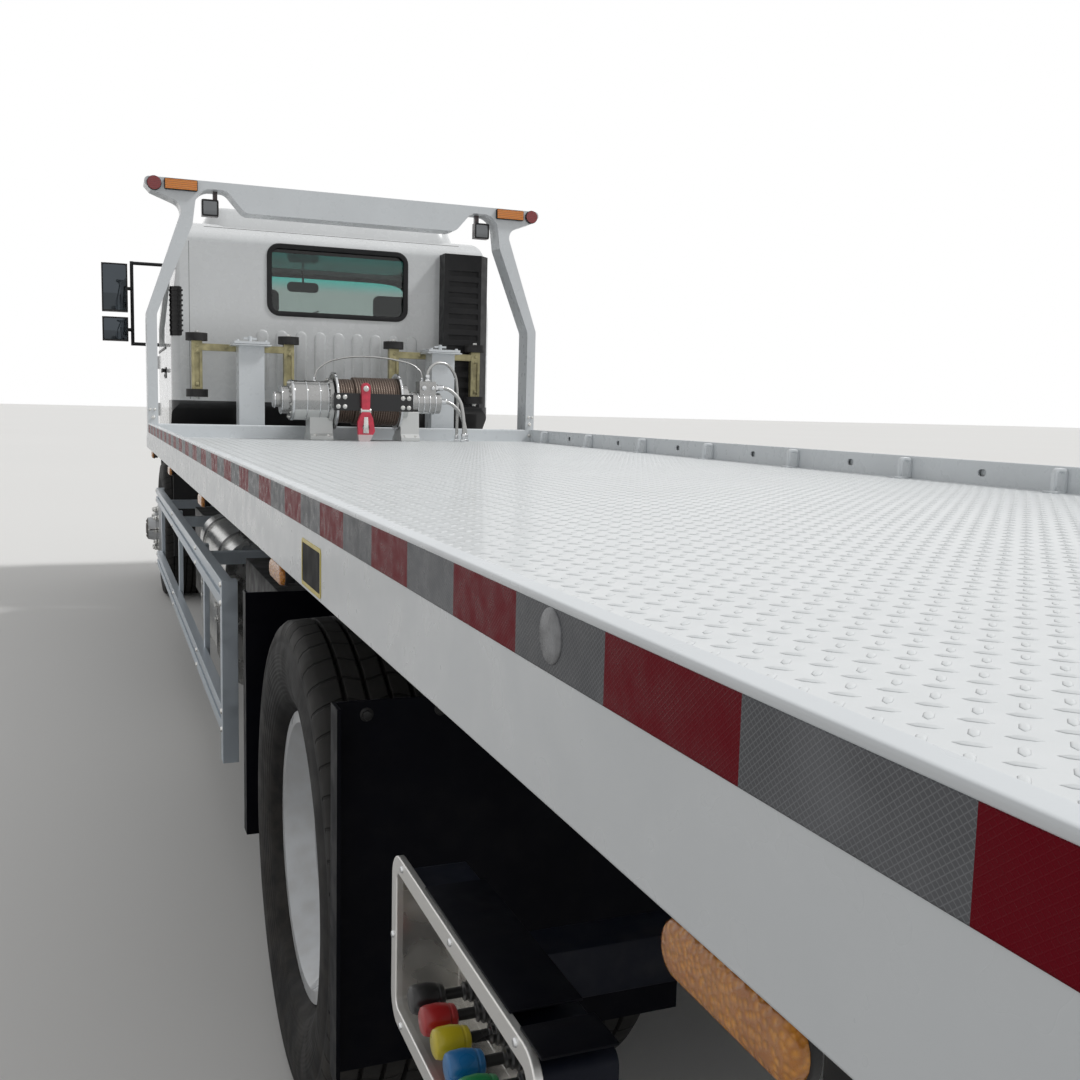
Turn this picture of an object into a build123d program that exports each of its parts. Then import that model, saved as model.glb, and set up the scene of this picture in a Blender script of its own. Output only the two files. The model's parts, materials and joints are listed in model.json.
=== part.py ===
"""Flatbed tow truck with a sliding, tilting deck, a winch, an underlift and a tilting cab.

Millimetres. +Z up, the front faces -Y, the driver's side is +X. The origin lies on the ground
below the middle of the overall box.
"""

import os
from math import cos, radians, sin, tan

from build123d import *

os.makedirs("parts", exist_ok=True)

# Running gear
wheelbase = 5650.0
front_overhang = 1110.0
rear_overhang = 1933.0
tyre_radius = 433.0
tyre_width = 262.0
rim_radius = 260.0
twin_pitch = 298.0
rear_outer_track = 993.5
front_track = 915.0
kingpin_offset = 770.0
kingpin_radius = 24.0

# Deck
deck_width = 2310.0
deck_top = 1053.0
deck_plate = 6.0
curb_height = 75.0
curb_thickness = 20.0
rail_depth = 140.0
rail_sheet = 6.0
rail_flange = 55.0
bed_length = 6600.0
sill_length = 230.0
tail_taper = 700.0
tail_depth = 30.0
runner_height = 92.0
runner_width = 80.0
ring_first = 301.0
ring_pitch = 657.4
ring_count = 10
ring_bar = 13.0
ring_reach = 52.0
slot_length = 35.0
slot_height = 22.0

# Chassis
frame_width = 850.0
frame_height = 220.0
frame_flange = 65.0
frame_sheet = 8.0
frame_top = 790.0
frame_front = 320.0
frame_tail = 1190.0

# Tilt frame and its hinge
hinge_behind_axle = 1150.0
hinge_height = 838.0
hinge_pin_radius = 25.0
tilt_rail_height = 98.0
tilt_rail_width = 80.0
tilt_frame_length = 5700.0
tilt_angle = 12.6
slide_travel = 3800.0

# Cab
cab_length = 1610.0
cab_width = 2000.0
cab_setback = 53.0
cab_floor = 1010.0
cab_height = 2345.0
cab_wall = 46.0
door_gap = 9.0
glass_inset = 18.0
glass_thickness = 6.0

# Clearances
pin_gap = 0.3
seat_gap = 0.3
slide_gap = 0.5
running_gap = 6.0

# Derived places
overall_length = front_overhang + wheelbase + rear_overhang
y_bumper = -overall_length / 2
y_front_axle = y_bumper + front_overhang
y_rear_axle = y_front_axle + wheelbase
y_tail = overall_length / 2
y_curb = y_tail - bed_length
y_sill = y_curb - sill_length
y_hinge = y_rear_axle + hinge_behind_axle
y_cab = y_bumper + cab_setback
y_cab_back = y_cab + cab_length
half_deck = deck_width / 2
inner_lip = half_deck - curb_thickness
curb_top = deck_top + curb_height
rail_bottom = curb_top - rail_depth
plate_bottom = deck_top - deck_plate
runner_top = rail_bottom + rail_sheet
runner_bottom = runner_top - runner_height
half_frame = frame_width / 2
frame_bottom = frame_top - frame_height
frame_end = y_rear_axle + frame_tail
axle_height = tyre_radius
tilt_top = runner_bottom - slide_gap
tilt_bottom = tilt_top - tilt_rail_height
tilt_rail_x = half_frame - tilt_rail_width / 2


def block(x, y, z, mode=Mode.ADD):
    """A box between the two ends given for each axis, in either order."""
    spans = [abs(ends[1] - ends[0]) for ends in (x, y, z)]
    with Locations(tuple((ends[0] + ends[1]) / 2 for ends in (x, y, z))):
        Box(*spans, mode=mode)


def bar_x(x, y, z, radius, mode=Mode.ADD):
    """A round bar along X between the two ends x."""
    with Locations(((x[0] + x[1]) / 2, y, z)):
        Cylinder(radius, abs(x[1] - x[0]), rotation=(0, 90, 0), mode=mode)


def bar_y(x, y, z, radius, mode=Mode.ADD):
    """A round bar along Y between the two ends y."""
    with Locations((x, (y[0] + y[1]) / 2, z)):
        Cylinder(radius, abs(y[1] - y[0]), rotation=(90, 0, 0), mode=mode)


def bar_z(x, y, z, radius, mode=Mode.ADD):
    """A round bar along Z between the two ends z."""
    with Locations((x, y, (z[0] + z[1]) / 2)):
        Cylinder(radius, abs(z[1] - z[0]), mode=mode)


def outline(rows):
    """A closed outline from rows of (u, v, corner radius)."""
    points = [(u, v) for u, v, _ in rows]
    FilletPolyline(*points, radius=[radius for _, _, radius in rows], close=True)


def plane_xz(y):
    """The plane at y whose normal points forwards: local x is X, local y is Z."""
    return Plane.XZ.offset(-y)


def both_sides(solid):
    """The solid and its mirror image on the other side of the truck."""
    return Compound(children=[*solid.solids(), *solid.mirror(Plane.YZ).solids()])


def save(part, name):
    """Labels the part and writes it."""
    part.label = name
    export_step(part, f"parts/{name}.step")


# Ladder frame
hinge_plate = 14.0
hinge_plate_x = half_frame - frame_sheet - 60.0
lift_foot_y = y_hinge - 2400.0
lift_foot_z = 560.0
lift_head_y = y_hinge - 1600.0
lift_head_z = 740.0
lift_x = 250.0
lift_eye_width = 60.0
lift_pin_radius = 22.0
lug_plate = 14.0
lug_half = 40.0
arm_pivot_y = y_rear_axle + 1090.0
arm_pivot_z = 470.0
arm_pin_radius = 25.0
arm_width = 120.0
arm_cheek = 16.0
lamp_bar_half = 820.0
lamp_bar_y = (frame_end, frame_end + 50.0)
cross_z = (frame_bottom + 85.0, frame_top - 20.0)
cab_hinge_y = y_bumper + 285.0
cab_hinge_z = 620.0
cab_hinge_x = 310.0
cab_arm_width = 50.0
cab_pin_radius = 20.0
# Each row: place of a cross member behind the bumper, and its depth along Y
cross_members = (
    (frame_front + 40.0, 70.0),
    (2300.0, 60.0),
    (3100.0, 60.0),
    (4300.0, 60.0),
    (lift_foot_y - y_bumper - 120.0, 80.0),
    (y_rear_axle - y_bumper - 300.0, 60.0),
    (y_rear_axle - y_bumper + 520.0, 60.0),
    (frame_end - y_bumper - 100.0, 80.0),
)

with BuildPart() as chassis_frame:
    with BuildSketch(plane_xz(y_bumper + frame_front)):
        with Locations((half_frame - frame_flange / 2, frame_top - frame_height / 2)):
            Rectangle(frame_flange, frame_height)
        with Locations((half_frame - frame_flange / 2 - frame_sheet / 2, frame_top - frame_height / 2)):
            Rectangle(
                frame_flange - frame_sheet,
                frame_height - 2 * frame_sheet,
                mode=Mode.SUBTRACT,
            )
        mirror(about=Plane.YZ)
    extrude(amount=-(frame_end - y_bumper - frame_front))
    for place, depth in cross_members:
        reach = half_frame - frame_sheet
        block((-reach, reach), (y_bumper + place - depth / 2, y_bumper + place + depth / 2), cross_z)
    for side in (-1, 1):
        # Tilt hinge plates with their pins
        x_plate = side * hinge_plate_x
        block(
            (x_plate - hinge_plate / 2, x_plate + hinge_plate / 2),
            (y_hinge - 60.0, y_hinge + 36.0),
            (frame_top - 90.0, hinge_height + 38.0),
        )
        block(
            (x_plate, side * (half_frame - frame_sheet)),
            (y_hinge - 60.0, y_hinge + 36.0),
            (frame_top - 90.0, frame_top - 60.0),
        )
        bar_x((x_plate, side * half_frame), y_hinge, hinge_height, hinge_pin_radius)
        # Cab hinge lugs and pin
        for lug in (-1, 1):
            x_lug = side * cab_hinge_x + lug * (cab_arm_width / 2 + pin_gap + lug_plate / 2)
            block(
                (x_lug - lug_plate / 2, x_lug + lug_plate / 2),
                (cab_hinge_y - lug_half, y_bumper + frame_front + 60.0),
                (cab_hinge_z - lug_half, cross_z[1]),
            )
        pin_reach = cab_arm_width / 2 + lug_plate
        pin_x = (side * cab_hinge_x - pin_reach, side * cab_hinge_x + pin_reach)
        bar_x(pin_x, cab_hinge_y, cab_hinge_z, cab_pin_radius)
        # Lift ram foot lugs and pin
        for lug in (-1, 1):
            x_lug = side * lift_x + lug * (lift_eye_width / 2 + pin_gap + lug_plate / 2)
            block(
                (x_lug - lug_plate / 2, x_lug + lug_plate / 2),
                (lift_foot_y - 90.0, lift_foot_y + lug_half),
                (lift_foot_z - lug_half, cross_z[0] + 30.0),
            )
        pin_reach = lift_eye_width / 2 + lug_plate
        bar_x(
            (side * lift_x - pin_reach, side * lift_x + pin_reach),
            lift_foot_y,
            lift_foot_z,
            lift_pin_radius,
        )
        # Underlift cheeks below the last cross member
        x_cheek = side * (arm_width / 2 + pin_gap + arm_cheek / 2)
        block(
            (x_cheek - arm_cheek / 2, x_cheek + arm_cheek / 2),
            (arm_pivot_y - 60.0, arm_pivot_y + 60.0),
            (arm_pivot_z - 60.0, cross_z[0] + 30.0),
        )
    cheek_reach = arm_width / 2 + arm_cheek
    bar_x((-cheek_reach, cheek_reach), arm_pivot_y, arm_pivot_z, arm_pin_radius)
    # Rear lamp bar
    block((-lamp_bar_half, lamp_bar_half), lamp_bar_y, (frame_bottom + 10.0, frame_bottom + 130.0))
save(chassis_frame.part, "chassis_frame")

# Engine and gearbox, one plain block
engine_front = y_bumper + 620.0
engine_back = engine_front + 1050.0
gearbox_back = engine_back + 500.0
with BuildPart() as engine_block:
    block((-300.0, 300.0), (engine_front, engine_back), (520.0, 960.0))
    block((-200.0, 200.0), (engine_back, gearbox_back), (540.0, 760.0))
save(engine_block.part, "engine_block")


def leaf_spring(x_middle, y_middle, z_ends, z_middle, thickness, width, span):
    """A bowed spring pack, hung at both ends and low in the middle."""
    with BuildPart() as pack:
        with BuildSketch(Plane.YZ.offset(x_middle - width / 2)):
            with BuildLine():
                front, rear = y_middle - span / 2, y_middle + span / 2
                ThreePointArc((front, z_ends - 20.0), (y_middle, z_middle), (rear, z_ends - 20.0))
                Line((rear, z_ends - 20.0), (rear, z_ends))
                ThreePointArc((rear, z_ends), (y_middle, z_middle + thickness), (front, z_ends))
                Line((front, z_ends), (front, z_ends - 20.0))
            make_face()
        extrude(amount=width)
    return pack.part


# Front axle with its springs
spring_width = 70.0
spring_span = 1400.0
front_spring_x = half_frame - frame_flange / 2
axle_eye_half = 35.0
axle_eye_radius = 42.0
kingpin_half = 75.0
with BuildPart() as front_axle:
    block(
        (-620.0, 620.0),
        (y_front_axle - 45.0, y_front_axle + 45.0),
        (axle_height - 85.0, axle_height + 5.0),
    )
    for side in (-1, 1):
        block(
            (side * 600.0, side * kingpin_offset),
            (y_front_axle - 38.0, y_front_axle + 38.0),
            (axle_height - axle_eye_half, axle_height + axle_eye_half),
        )
        eye_z = (axle_height - axle_eye_half, axle_height + axle_eye_half)
        bar_z(side * kingpin_offset, y_front_axle, eye_z, axle_eye_radius)
        pin_z = (axle_height - kingpin_half, axle_height + kingpin_half)
        bar_z(side * kingpin_offset, y_front_axle, pin_z, kingpin_radius)
        x_spring = side * front_spring_x
        block(
            (x_spring - spring_width / 2, x_spring + spring_width / 2),
            (y_front_axle - 90.0, y_front_axle + 90.0),
            (axle_height, axle_height + 60.0),
        )
        add(
            leaf_spring(
                x_spring,
                y_front_axle,
                frame_bottom,
                axle_height + 30.0,
                55.0,
                spring_width,
                spring_span,
            )
        )
save(front_axle.part, "front_axle")

# Steered knuckles: a fork round the axle's end, and the spindle
fork_thickness = 38.0
fork_radius = 48.0
knuckle_plate = (kingpin_offset + 52.0, kingpin_offset + 88.0)
spindle_radius = 38.0
spindle_end = front_track + 40.0
for side, name in ((1, "knuckle_left"), (-1, "knuckle_right")):
    with BuildPart() as knuckle:
        for end in (-1, 1):
            fork_z = (
                axle_height + end * (axle_eye_half + pin_gap),
                axle_height + end * (axle_eye_half + pin_gap + fork_thickness),
            )
            bar_z(side * kingpin_offset, y_front_axle, fork_z, fork_radius)
            block(
                (side * kingpin_offset, side * knuckle_plate[1]),
                (y_front_axle - 45.0, y_front_axle + 45.0),
                fork_z,
            )
        block(
            (side * knuckle_plate[0], side * knuckle_plate[1]),
            (y_front_axle - 60.0, y_front_axle + 60.0),
            (axle_height - axle_eye_half - fork_thickness, axle_height + axle_eye_half + fork_thickness),
        )
        spindle = (side * knuckle_plate[1], side * spindle_end)
        bar_x(spindle, y_front_axle, axle_height, spindle_radius)
        bore_z = (axle_height - 2 * kingpin_half, axle_height + 2 * kingpin_half)
        bar_z(
            side * kingpin_offset,
            y_front_axle,
            bore_z,
            kingpin_radius + pin_gap,
            mode=Mode.SUBTRACT,
        )
    save(knuckle.part, name)

# Rear axle with its springs and propeller shaft
rear_spring_x = 495.0
axle_tube_radius = 62.0
rear_spindle_radius = 50.0
rear_inner_face = rear_outer_track - twin_pitch - tyre_width / 2
shaft_start = Vector(0.0, y_rear_axle - 250.0, axle_height)
shaft_end = Vector(0.0, gearbox_back + 2.0, 600.0)
shaft_run = shaft_end - shaft_start
with BuildPart() as rear_axle:
    bar_x((30.0 - rear_inner_face, rear_inner_face - 30.0), y_rear_axle, axle_height, axle_tube_radius)
    bar_x((-rear_outer_track, rear_outer_track), y_rear_axle, axle_height, rear_spindle_radius)
    with Locations((0.0, y_rear_axle, axle_height)):
        Sphere(180.0)
    bar_y(0.0, (y_rear_axle - 300.0, y_rear_axle), axle_height, 80.0)
    with BuildSketch(Plane(origin=shaft_start, z_dir=shaft_run)):
        Circle(45.0)
    extrude(amount=shaft_run.length)
    for side in (-1, 1):
        x_spring = side * rear_spring_x
        block(
            (x_spring - spring_width / 2, x_spring + spring_width / 2),
            (y_rear_axle - 90.0, y_rear_axle + 90.0),
            (axle_height, axle_height + 120.0),
        )
        add(
            leaf_spring(
                x_spring,
                y_rear_axle,
                frame_bottom + 20.0,
                axle_height + 70.0,
                75.0,
                spring_width,
                spring_span,
            )
        )
        for end in (-1, 1):
            y_end = y_rear_axle + end * spring_span / 2
            block(
                (side * half_frame, side * (rear_spring_x + spring_width / 2)),
                (y_end - 40.0, y_end + 40.0),
                (frame_bottom + 10.0, frame_bottom + 70.0),
            )
save(rear_axle.part, "rear_axle")

# Wheels. The tyre's profile is drawn as shares of its width and radius
tyre_profile = (
    (-0.42, 0.66),
    (-0.5, 0.78),
    (-0.5, 0.87),
    (-0.46, 0.965),
    (-0.39, 1.0),
    (0.39, 1.0),
    (0.46, 0.965),
    (0.5, 0.87),
    (0.5, 0.78),
    (0.42, 0.66),
)
bead_radius = 248.0
rim_half_width = 96.0
rim_sheet = 10.0
well_depth = 38.0
disc_offset = twin_pitch / 2
disc_sheet = 12.0
disc_radius = 150.0
hub_radius = 105.0
hand_hole_count = 8
hand_hole_circle = 182.0
hand_hole_radius = 17.0


def axle_plane(x_middle, y_middle, outward):
    """A wheel's profile plane: local x outwards along the axle, local y upwards."""
    origin = (x_middle, y_middle, axle_height)
    return Plane(origin=origin, x_dir=(outward, 0, 0), z_dir=(0, -outward, 0))


def tyre(x_middle, y_middle):
    """One tyre turned round its own axle line."""
    with BuildPart() as turned:
        with BuildSketch(axle_plane(x_middle, y_middle, 1)):
            with BuildLine():
                edge = rim_half_width - rim_sheet
                shoulder = [(u * tyre_width, r * tyre_radius) for u, r in tyre_profile]
                Polyline(
                    (-edge + seat_gap, bead_radius + seat_gap),
                    (-edge + seat_gap, rim_radius + 1.0),
                    *shoulder,
                    (edge - seat_gap, rim_radius + 1.0),
                    (edge - seat_gap, bead_radius + seat_gap),
                    close=True,
                )
            make_face()
        revolve(axis=Axis((x_middle, y_middle, axle_height), (1, 0, 0)))
    return turned.part


def wheel(x_middle, y_middle, outward, disc_place):
    """A drop-centre rim with a dished disc, whose mounting face is disc_place outwards."""
    well = bead_radius - well_depth
    edge = rim_half_width - rim_sheet
    sign = 1 if disc_place > 0 else -1
    back = disc_place - sign * disc_sheet
    with BuildPart() as turned:
        with BuildSketch(axle_plane(x_middle, y_middle, outward)):
            with BuildLine():
                Polyline(
                    (-rim_half_width, rim_radius),
                    (-rim_half_width, bead_radius - rim_sheet),
                    (-40.0, well),
                    (40.0, well),
                    (rim_half_width, bead_radius - rim_sheet),
                    (rim_half_width, rim_radius),
                    (edge, rim_radius),
                    (edge, bead_radius),
                    (46.0, well + rim_sheet),
                    (-46.0, well + rim_sheet),
                    (-edge, bead_radius),
                    (-edge, rim_radius),
                    close=True,
                )
            make_face()
            with BuildLine():
                Polyline(
                    (disc_place, hub_radius - 5.0),
                    (disc_place, disc_radius),
                    (sign * 38.0, well + 4.0),
                    (sign * 20.0, well + 4.0),
                    (back, disc_radius - 8.0),
                    (back, hub_radius - 5.0),
                    close=True,
                )
            make_face()
        revolve(axis=Axis((x_middle, y_middle, axle_height), (1, 0, 0)))
        reach = (x_middle, x_middle + outward * 1.1 * disc_place)
        for k in range(hand_hole_count):
            angle = radians(360.0 * k / hand_hole_count)
            y_hole = y_middle + hand_hole_circle * cos(angle)
            z_hole = axle_height + hand_hole_circle * sin(angle)
            bar_x(reach, y_hole, z_hole, hand_hole_radius, mode=Mode.SUBTRACT)
    return turned.part


def hub(x_face, y_middle, outward, inner, outer, bore_depth, bore_radius):
    """A hub from inner to outer of the mounting face, with a blind bore from its inner end."""
    with BuildPart() as turned:
        with BuildSketch(axle_plane(x_face, y_middle, outward)):
            with BuildLine():
                Polyline(
                    (inner, bore_radius),
                    (inner, hub_radius),
                    (18.0, hub_radius),
                    (18.0, 78.0),
                    (outer, 70.0),
                    (outer, 0.0),
                    (bore_depth, 0.0),
                    (bore_depth, bore_radius),
                    close=True,
                )
            make_face()
        revolve(axis=Axis((x_face, y_middle, axle_height), (1, 0, 0)))
    return turned.part


for side, name in ((1, "left"), (-1, "right")):
    save(tyre(side * front_track, y_front_axle), f"tyre_front_{name}")
    face = front_track + disc_offset
    with BuildPart() as front_rim:
        add(wheel(side * front_track, y_front_axle, side, disc_offset))
        inner = knuckle_plate[1] + running_gap - face
        depth = spindle_end + running_gap - face
        add(hub(side * face, y_front_axle, side, inner, 62.0, depth, spindle_radius + pin_gap))
    save(front_rim.part, f"rim_front_{name}")

    twins = [tyre(side * (rear_outer_track - k * twin_pitch), y_rear_axle) for k in (0, 1)]
    save(Compound(children=twins), f"tyre_rear_{name}")
    face = rear_outer_track - disc_offset
    with BuildPart() as rear_rim:
        add(wheel(side * rear_outer_track, y_rear_axle, side, -disc_offset))
        add(wheel(side * (rear_outer_track - twin_pitch), y_rear_axle, side, disc_offset))
        inner = rear_inner_face - 30.0 + running_gap - face
        depth = disc_offset + running_gap
        add(hub(side * face, y_rear_axle, side, inner, 190.0, depth, rear_spindle_radius + pin_gap))
    save(rear_rim.part, f"rim_rear_{name}")

# Fuel tank: a rounded box on two brackets, with two straps
tank_x = (470.0, 1040.0)
tank_ahead = (1800.0, 2750.0)
tank_z = (300.0, 800.0)
tank_corner = 95.0
strap_width = 55.0
strap_sheet = 6.0
strap_shares = (0.22, 0.78)
tank_width = tank_x[1] - tank_x[0]
tank_height = tank_z[1] - tank_z[0]
tank_length = tank_ahead[1] - tank_ahead[0]
tank_middle = ((tank_x[0] + tank_x[1]) / 2, (tank_z[0] + tank_z[1]) / 2)
with BuildPart() as fuel_tank:
    with BuildSketch(plane_xz(y_rear_axle - tank_ahead[1])):
        with Locations(tank_middle):
            RectangleRounded(tank_width, tank_height, tank_corner)
    extrude(amount=-tank_length)
    for share in strap_shares:
        y_strap = y_rear_axle - tank_ahead[1] + share * tank_length - strap_width / 2
        with BuildSketch(plane_xz(y_strap)):
            with Locations(tank_middle):
                RectangleRounded(
                    tank_width + 2 * strap_sheet,
                    tank_height + 2 * strap_sheet,
                    tank_corner + strap_sheet,
                )
        extrude(amount=-strap_width)
        block(
            (half_frame, tank_x[0]),
            (y_strap, y_strap + strap_width),
            (frame_bottom + 10.0, frame_top - 30.0),
        )
save(fuel_tank.part, "fuel_tank")

# Boxes bolted to the frame. Each row: side, ahead of the rear axle (from, to), outer x, z (from, to)
frame_boxes = (
    (1, (760.0, 1500.0), 1010.0, (400.0, 780.0)),
    (1, (3000.0, 3500.0), 1000.0, (380.0, 760.0)),
    (-1, (1900.0, 2700.0), 980.0, (360.0, 760.0)),
    (-1, (850.0, 1650.0), 900.0, (420.0, 700.0)),
)
with BuildPart() as chassis_boxes:
    for side, ahead, x_outer, z_span in frame_boxes:
        block(
            (side * half_frame, side * x_outer),
            (y_rear_axle - ahead[1], y_rear_axle - ahead[0]),
            z_span,
        )
save(chassis_boxes.part, "chassis_boxes")

# Side guards: two grooved rails on posts, carried by arms from the frame
guard_x = (1100.0, 1140.0)
guard_ahead = (926.0, 4211.0)
guard_rail_height = 72.0
guard_rail_bottoms = (728.0, 395.0)
guard_post_width = 45.0
guard_post_z = (322.0, 800.0)
guard_posts_ahead = (926.0, 1700.0, 2860.0, 4166.0)
guard_arms_ahead = (1695.0, 2860.0, 3700.0)
groove_depth = 8.0
groove_height = 16.0


def side_guard(side):
    """The guard of one side, in one piece."""
    y_rear = y_rear_axle - guard_ahead[0]
    y_front = y_rear_axle - guard_ahead[1]
    with BuildPart() as guard:
        for z_rail in guard_rail_bottoms:
            z_groove = z_rail + (guard_rail_height - groove_height) / 2
            block(
                (side * (guard_x[0] + 12.0), side * guard_x[1]),
                (y_front, y_rear),
                (z_rail, z_rail + guard_rail_height),
            )
            block(
                (side * (guard_x[1] - groove_depth), side * (guard_x[1] + 1.0)),
                (y_front - 1.0, y_rear + 1.0),
                (z_groove, z_groove + groove_height),
                mode=Mode.SUBTRACT,
            )
        for ahead in guard_posts_ahead:
            x_outer = guard_x[1] if ahead == guard_ahead[0] else guard_x[0] + 16.0
            y_post = y_rear_axle - ahead
            block(
                (side * guard_x[0], side * x_outer),
                (y_post - guard_post_width, y_post),
                guard_post_z,
            )
        for ahead in guard_arms_ahead:
            y_arm = y_rear_axle - ahead
            block(
                (side * half_frame, side * (guard_x[0] + 14.0)),
                (y_arm - guard_post_width, y_arm),
                (frame_top - 55.0, frame_top - 15.0),
            )
    return guard.part


save(Compound(children=[side_guard(1), side_guard(-1)]), "side_guards")

# Mudguard plates ahead of and behind the rear wheels, on bars from the frame
mud_x = (560.0, 1130.0)
mud_sheet = 6.0
mud_lip = 45.0
mud_ahead = 520.0
mud_behind = 450.0
mud_z = (280.0, 835.0)
mud_bar_x = 860.0


def mud_plate(side, y_plate, away):
    """One flanged plate, its lip and its bar on the side away from the wheel."""
    with BuildPart() as plate:
        block((side * mud_x[0], side * mud_x[1]), (y_plate, y_plate + away * mud_sheet), mud_z)
        block(
            (side * (mud_x[1] - mud_sheet), side * mud_x[1]),
            (y_plate, y_plate + away * mud_lip),
            mud_z,
        )
        block(
            (side * half_frame, side * mud_bar_x),
            (y_plate, y_plate + away * 50.0),
            (frame_top - 80.0, frame_top - 30.0),
        )
    return plate.part


# Each row: where the plate stands, and which way is away from the wheel
mud_rows = ((y_rear_axle - mud_ahead, -1), (y_rear_axle + mud_behind, 1))
mud_plates = [mud_plate(side, *row) for side in (1, -1) for row in mud_rows]
save(Compound(children=mud_plates), "mudguards")

# Control box behind the left rear wheel: a rounded frame round an open box
control_behind = (806.0, 1240.0)
control_z = (596.0, 752.0)
control_x = (840.0, 1126.0)
control_wall = 4.0
control_frame = 16.0
control_frame_depth = 8.0
control_corner = 32.0
control_y = (y_rear_axle + control_behind[0], y_rear_axle + control_behind[1])
control_middle = ((control_y[0] + control_y[1]) / 2, (control_z[0] + control_z[1]) / 2)
control_size = (control_y[1] - control_y[0], control_z[1] - control_z[0])
# Each row: where the section starts, how deep it is, how far its edge lies inside the frame's, mode
control_sections = (
    (control_x[0], control_x[1] - control_x[0], control_frame, Mode.ADD),
    (control_x[1] - control_frame_depth, control_frame_depth, 0.0, Mode.ADD),
    (control_x[0] + control_wall, control_x[1] - control_x[0], control_frame + control_wall, Mode.SUBTRACT),
)
with BuildPart() as control_box:
    for x_start, depth, inset, mode in control_sections:
        with BuildSketch(Plane.YZ.offset(x_start)):
            with Locations(control_middle):
                RectangleRounded(
                    control_size[0] - 2 * inset,
                    control_size[1] - 2 * inset,
                    max(control_corner - inset, 8.0),
                )
        extrude(amount=depth, mode=mode)
    block(
        (half_frame, control_x[0]),
        (control_y[0] + 60.0, control_y[0] + 120.0),
        (control_z[0] + 45.0, control_z[0] + 105.0),
    )
save(control_box.part, "control_box")

# Levers with barrel knobs, pointing out of the control box
lever_count = 6
lever_radius = 6.0
knob_radius = 15.0
knob_length = 42.0
knob_end = control_x[1] + 6.0
lever_pitch = (control_size[0] - 100.0) / (lever_count - 1)
with BuildPart() as control_levers:
    for k in range(lever_count):
        y_lever = control_y[0] + 50.0 + k * lever_pitch
        lever_z = control_middle[1] - 12.0
        bar_x((control_x[0] + control_wall, knob_end - 10.0), y_lever, lever_z, lever_radius)
        bar_x((knob_end - knob_length, knob_end), y_lever, lever_z, knob_radius)
save(control_levers.part, "control_levers")

# Front bumper: wraps round the front corners, with a recess for each headlamp
bumper_z = (370.0, 750.0)
bumper_depth = 330.0
bumper_wall = 60.0
bumper_half = cab_width / 2
lamp_x = (600.0, 880.0)
lamp_z = (530.0, 690.0)
lamp_depth = 40.0
with BuildPart() as front_bumper:
    with BuildSketch(Plane.XY.offset(bumper_z[0])):
        with BuildLine():
            outline(
                (
                    (-bumper_half, y_bumper + bumper_depth, 0.0),
                    (-bumper_half, y_bumper + 90.0, 70.0),
                    (-bumper_half + 200.0, y_bumper, 160.0),
                    (bumper_half - 200.0, y_bumper, 160.0),
                    (bumper_half, y_bumper + 90.0, 70.0),
                    (bumper_half, y_bumper + bumper_depth, 0.0),
                    (bumper_half - bumper_wall, y_bumper + bumper_depth, 0.0),
                    (bumper_half - bumper_wall, y_bumper + 150.0, 40.0),
                    (bumper_half - 220.0, y_bumper + bumper_wall, 120.0),
                    (-bumper_half + 220.0, y_bumper + bumper_wall, 120.0),
                    (-bumper_half + bumper_wall, y_bumper + 150.0, 40.0),
                    (-bumper_half + bumper_wall, y_bumper + bumper_depth, 0.0),
                )
            )
        make_face()
    extrude(amount=bumper_z[1] - bumper_z[0])
    for side in (-1, 1):
        block(
            (side * lamp_x[0], side * lamp_x[1]),
            (y_bumper - 10.0, y_bumper + lamp_depth),
            lamp_z,
            mode=Mode.SUBTRACT,
        )
        block(
            (side * (half_frame - 60.0), side * half_frame),
            (y_bumper + bumper_wall, y_bumper + frame_front),
            (frame_bottom + 20.0, frame_top - 50.0),
        )
    block((-420.0, 420.0), (y_bumper - 10.0, y_bumper + 20.0), (450.0, 520.0), mode=Mode.SUBTRACT)
save(front_bumper.part, "front_bumper")

# Headlamps in the bumper, and tail lamps behind the lamp bar
tail_lamp_x = (470.0, 790.0)
with BuildPart() as chassis_lamps:
    for side in (-1, 1):
        block(
            (side * (lamp_x[0] + seat_gap), side * (lamp_x[1] - seat_gap)),
            (y_bumper + 12.0, y_bumper + lamp_depth),
            (lamp_z[0] + seat_gap, lamp_z[1] - seat_gap),
        )
        block(
            (side * tail_lamp_x[0], side * tail_lamp_x[1]),
            (frame_end + 50.0, frame_end + 85.0),
            (frame_bottom + 20.0, frame_bottom + 120.0),
        )
save(chassis_lamps.part, "chassis_lamps")

# Front fenders: step box, arch plate over the wheel and flap behind it, on bars from the frame
fender_x = (620.0, 1000.0)
fender_gap = 545.0
step_front = y_bumper + bumper_depth + 10.0
arch_z = (965.0, 980.0)


def front_fender(side):
    """One side's step box, arch and flap."""
    y_flap = y_front_axle + fender_gap
    x_span = (side * fender_x[0], side * fender_x[1])
    with BuildPart() as fender:
        block((side * 780.0, side * fender_x[1]), (step_front, y_front_axle - fender_gap), (330.0, arch_z[1]))
        block(
            (side * 860.0, side * (fender_x[1] + 1.0)),
            (step_front + 20.0, y_front_axle - fender_gap - 20.0),
            (420.0, 620.0),
            mode=Mode.SUBTRACT,
        )
        block(
            (side * 860.0, side * (fender_x[1] + 1.0)),
            (step_front + 20.0, y_front_axle - fender_gap - 20.0),
            (700.0, 900.0),
            mode=Mode.SUBTRACT,
        )
        block(x_span, (step_front, y_flap + 15.0), arch_z)
        block(x_span, (y_flap, y_flap + 15.0), (320.0, arch_z[1]))
        for y_bar in (y_front_axle - fender_gap - 60.0, y_flap):
            block(
                (side * half_frame, side * 800.0),
                (y_bar, y_bar + 50.0),
                (frame_top - 80.0, frame_top - 30.0),
            )
    return fender.part


save(Compound(children=[front_fender(1), front_fender(-1)]), "front_fenders")

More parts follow.
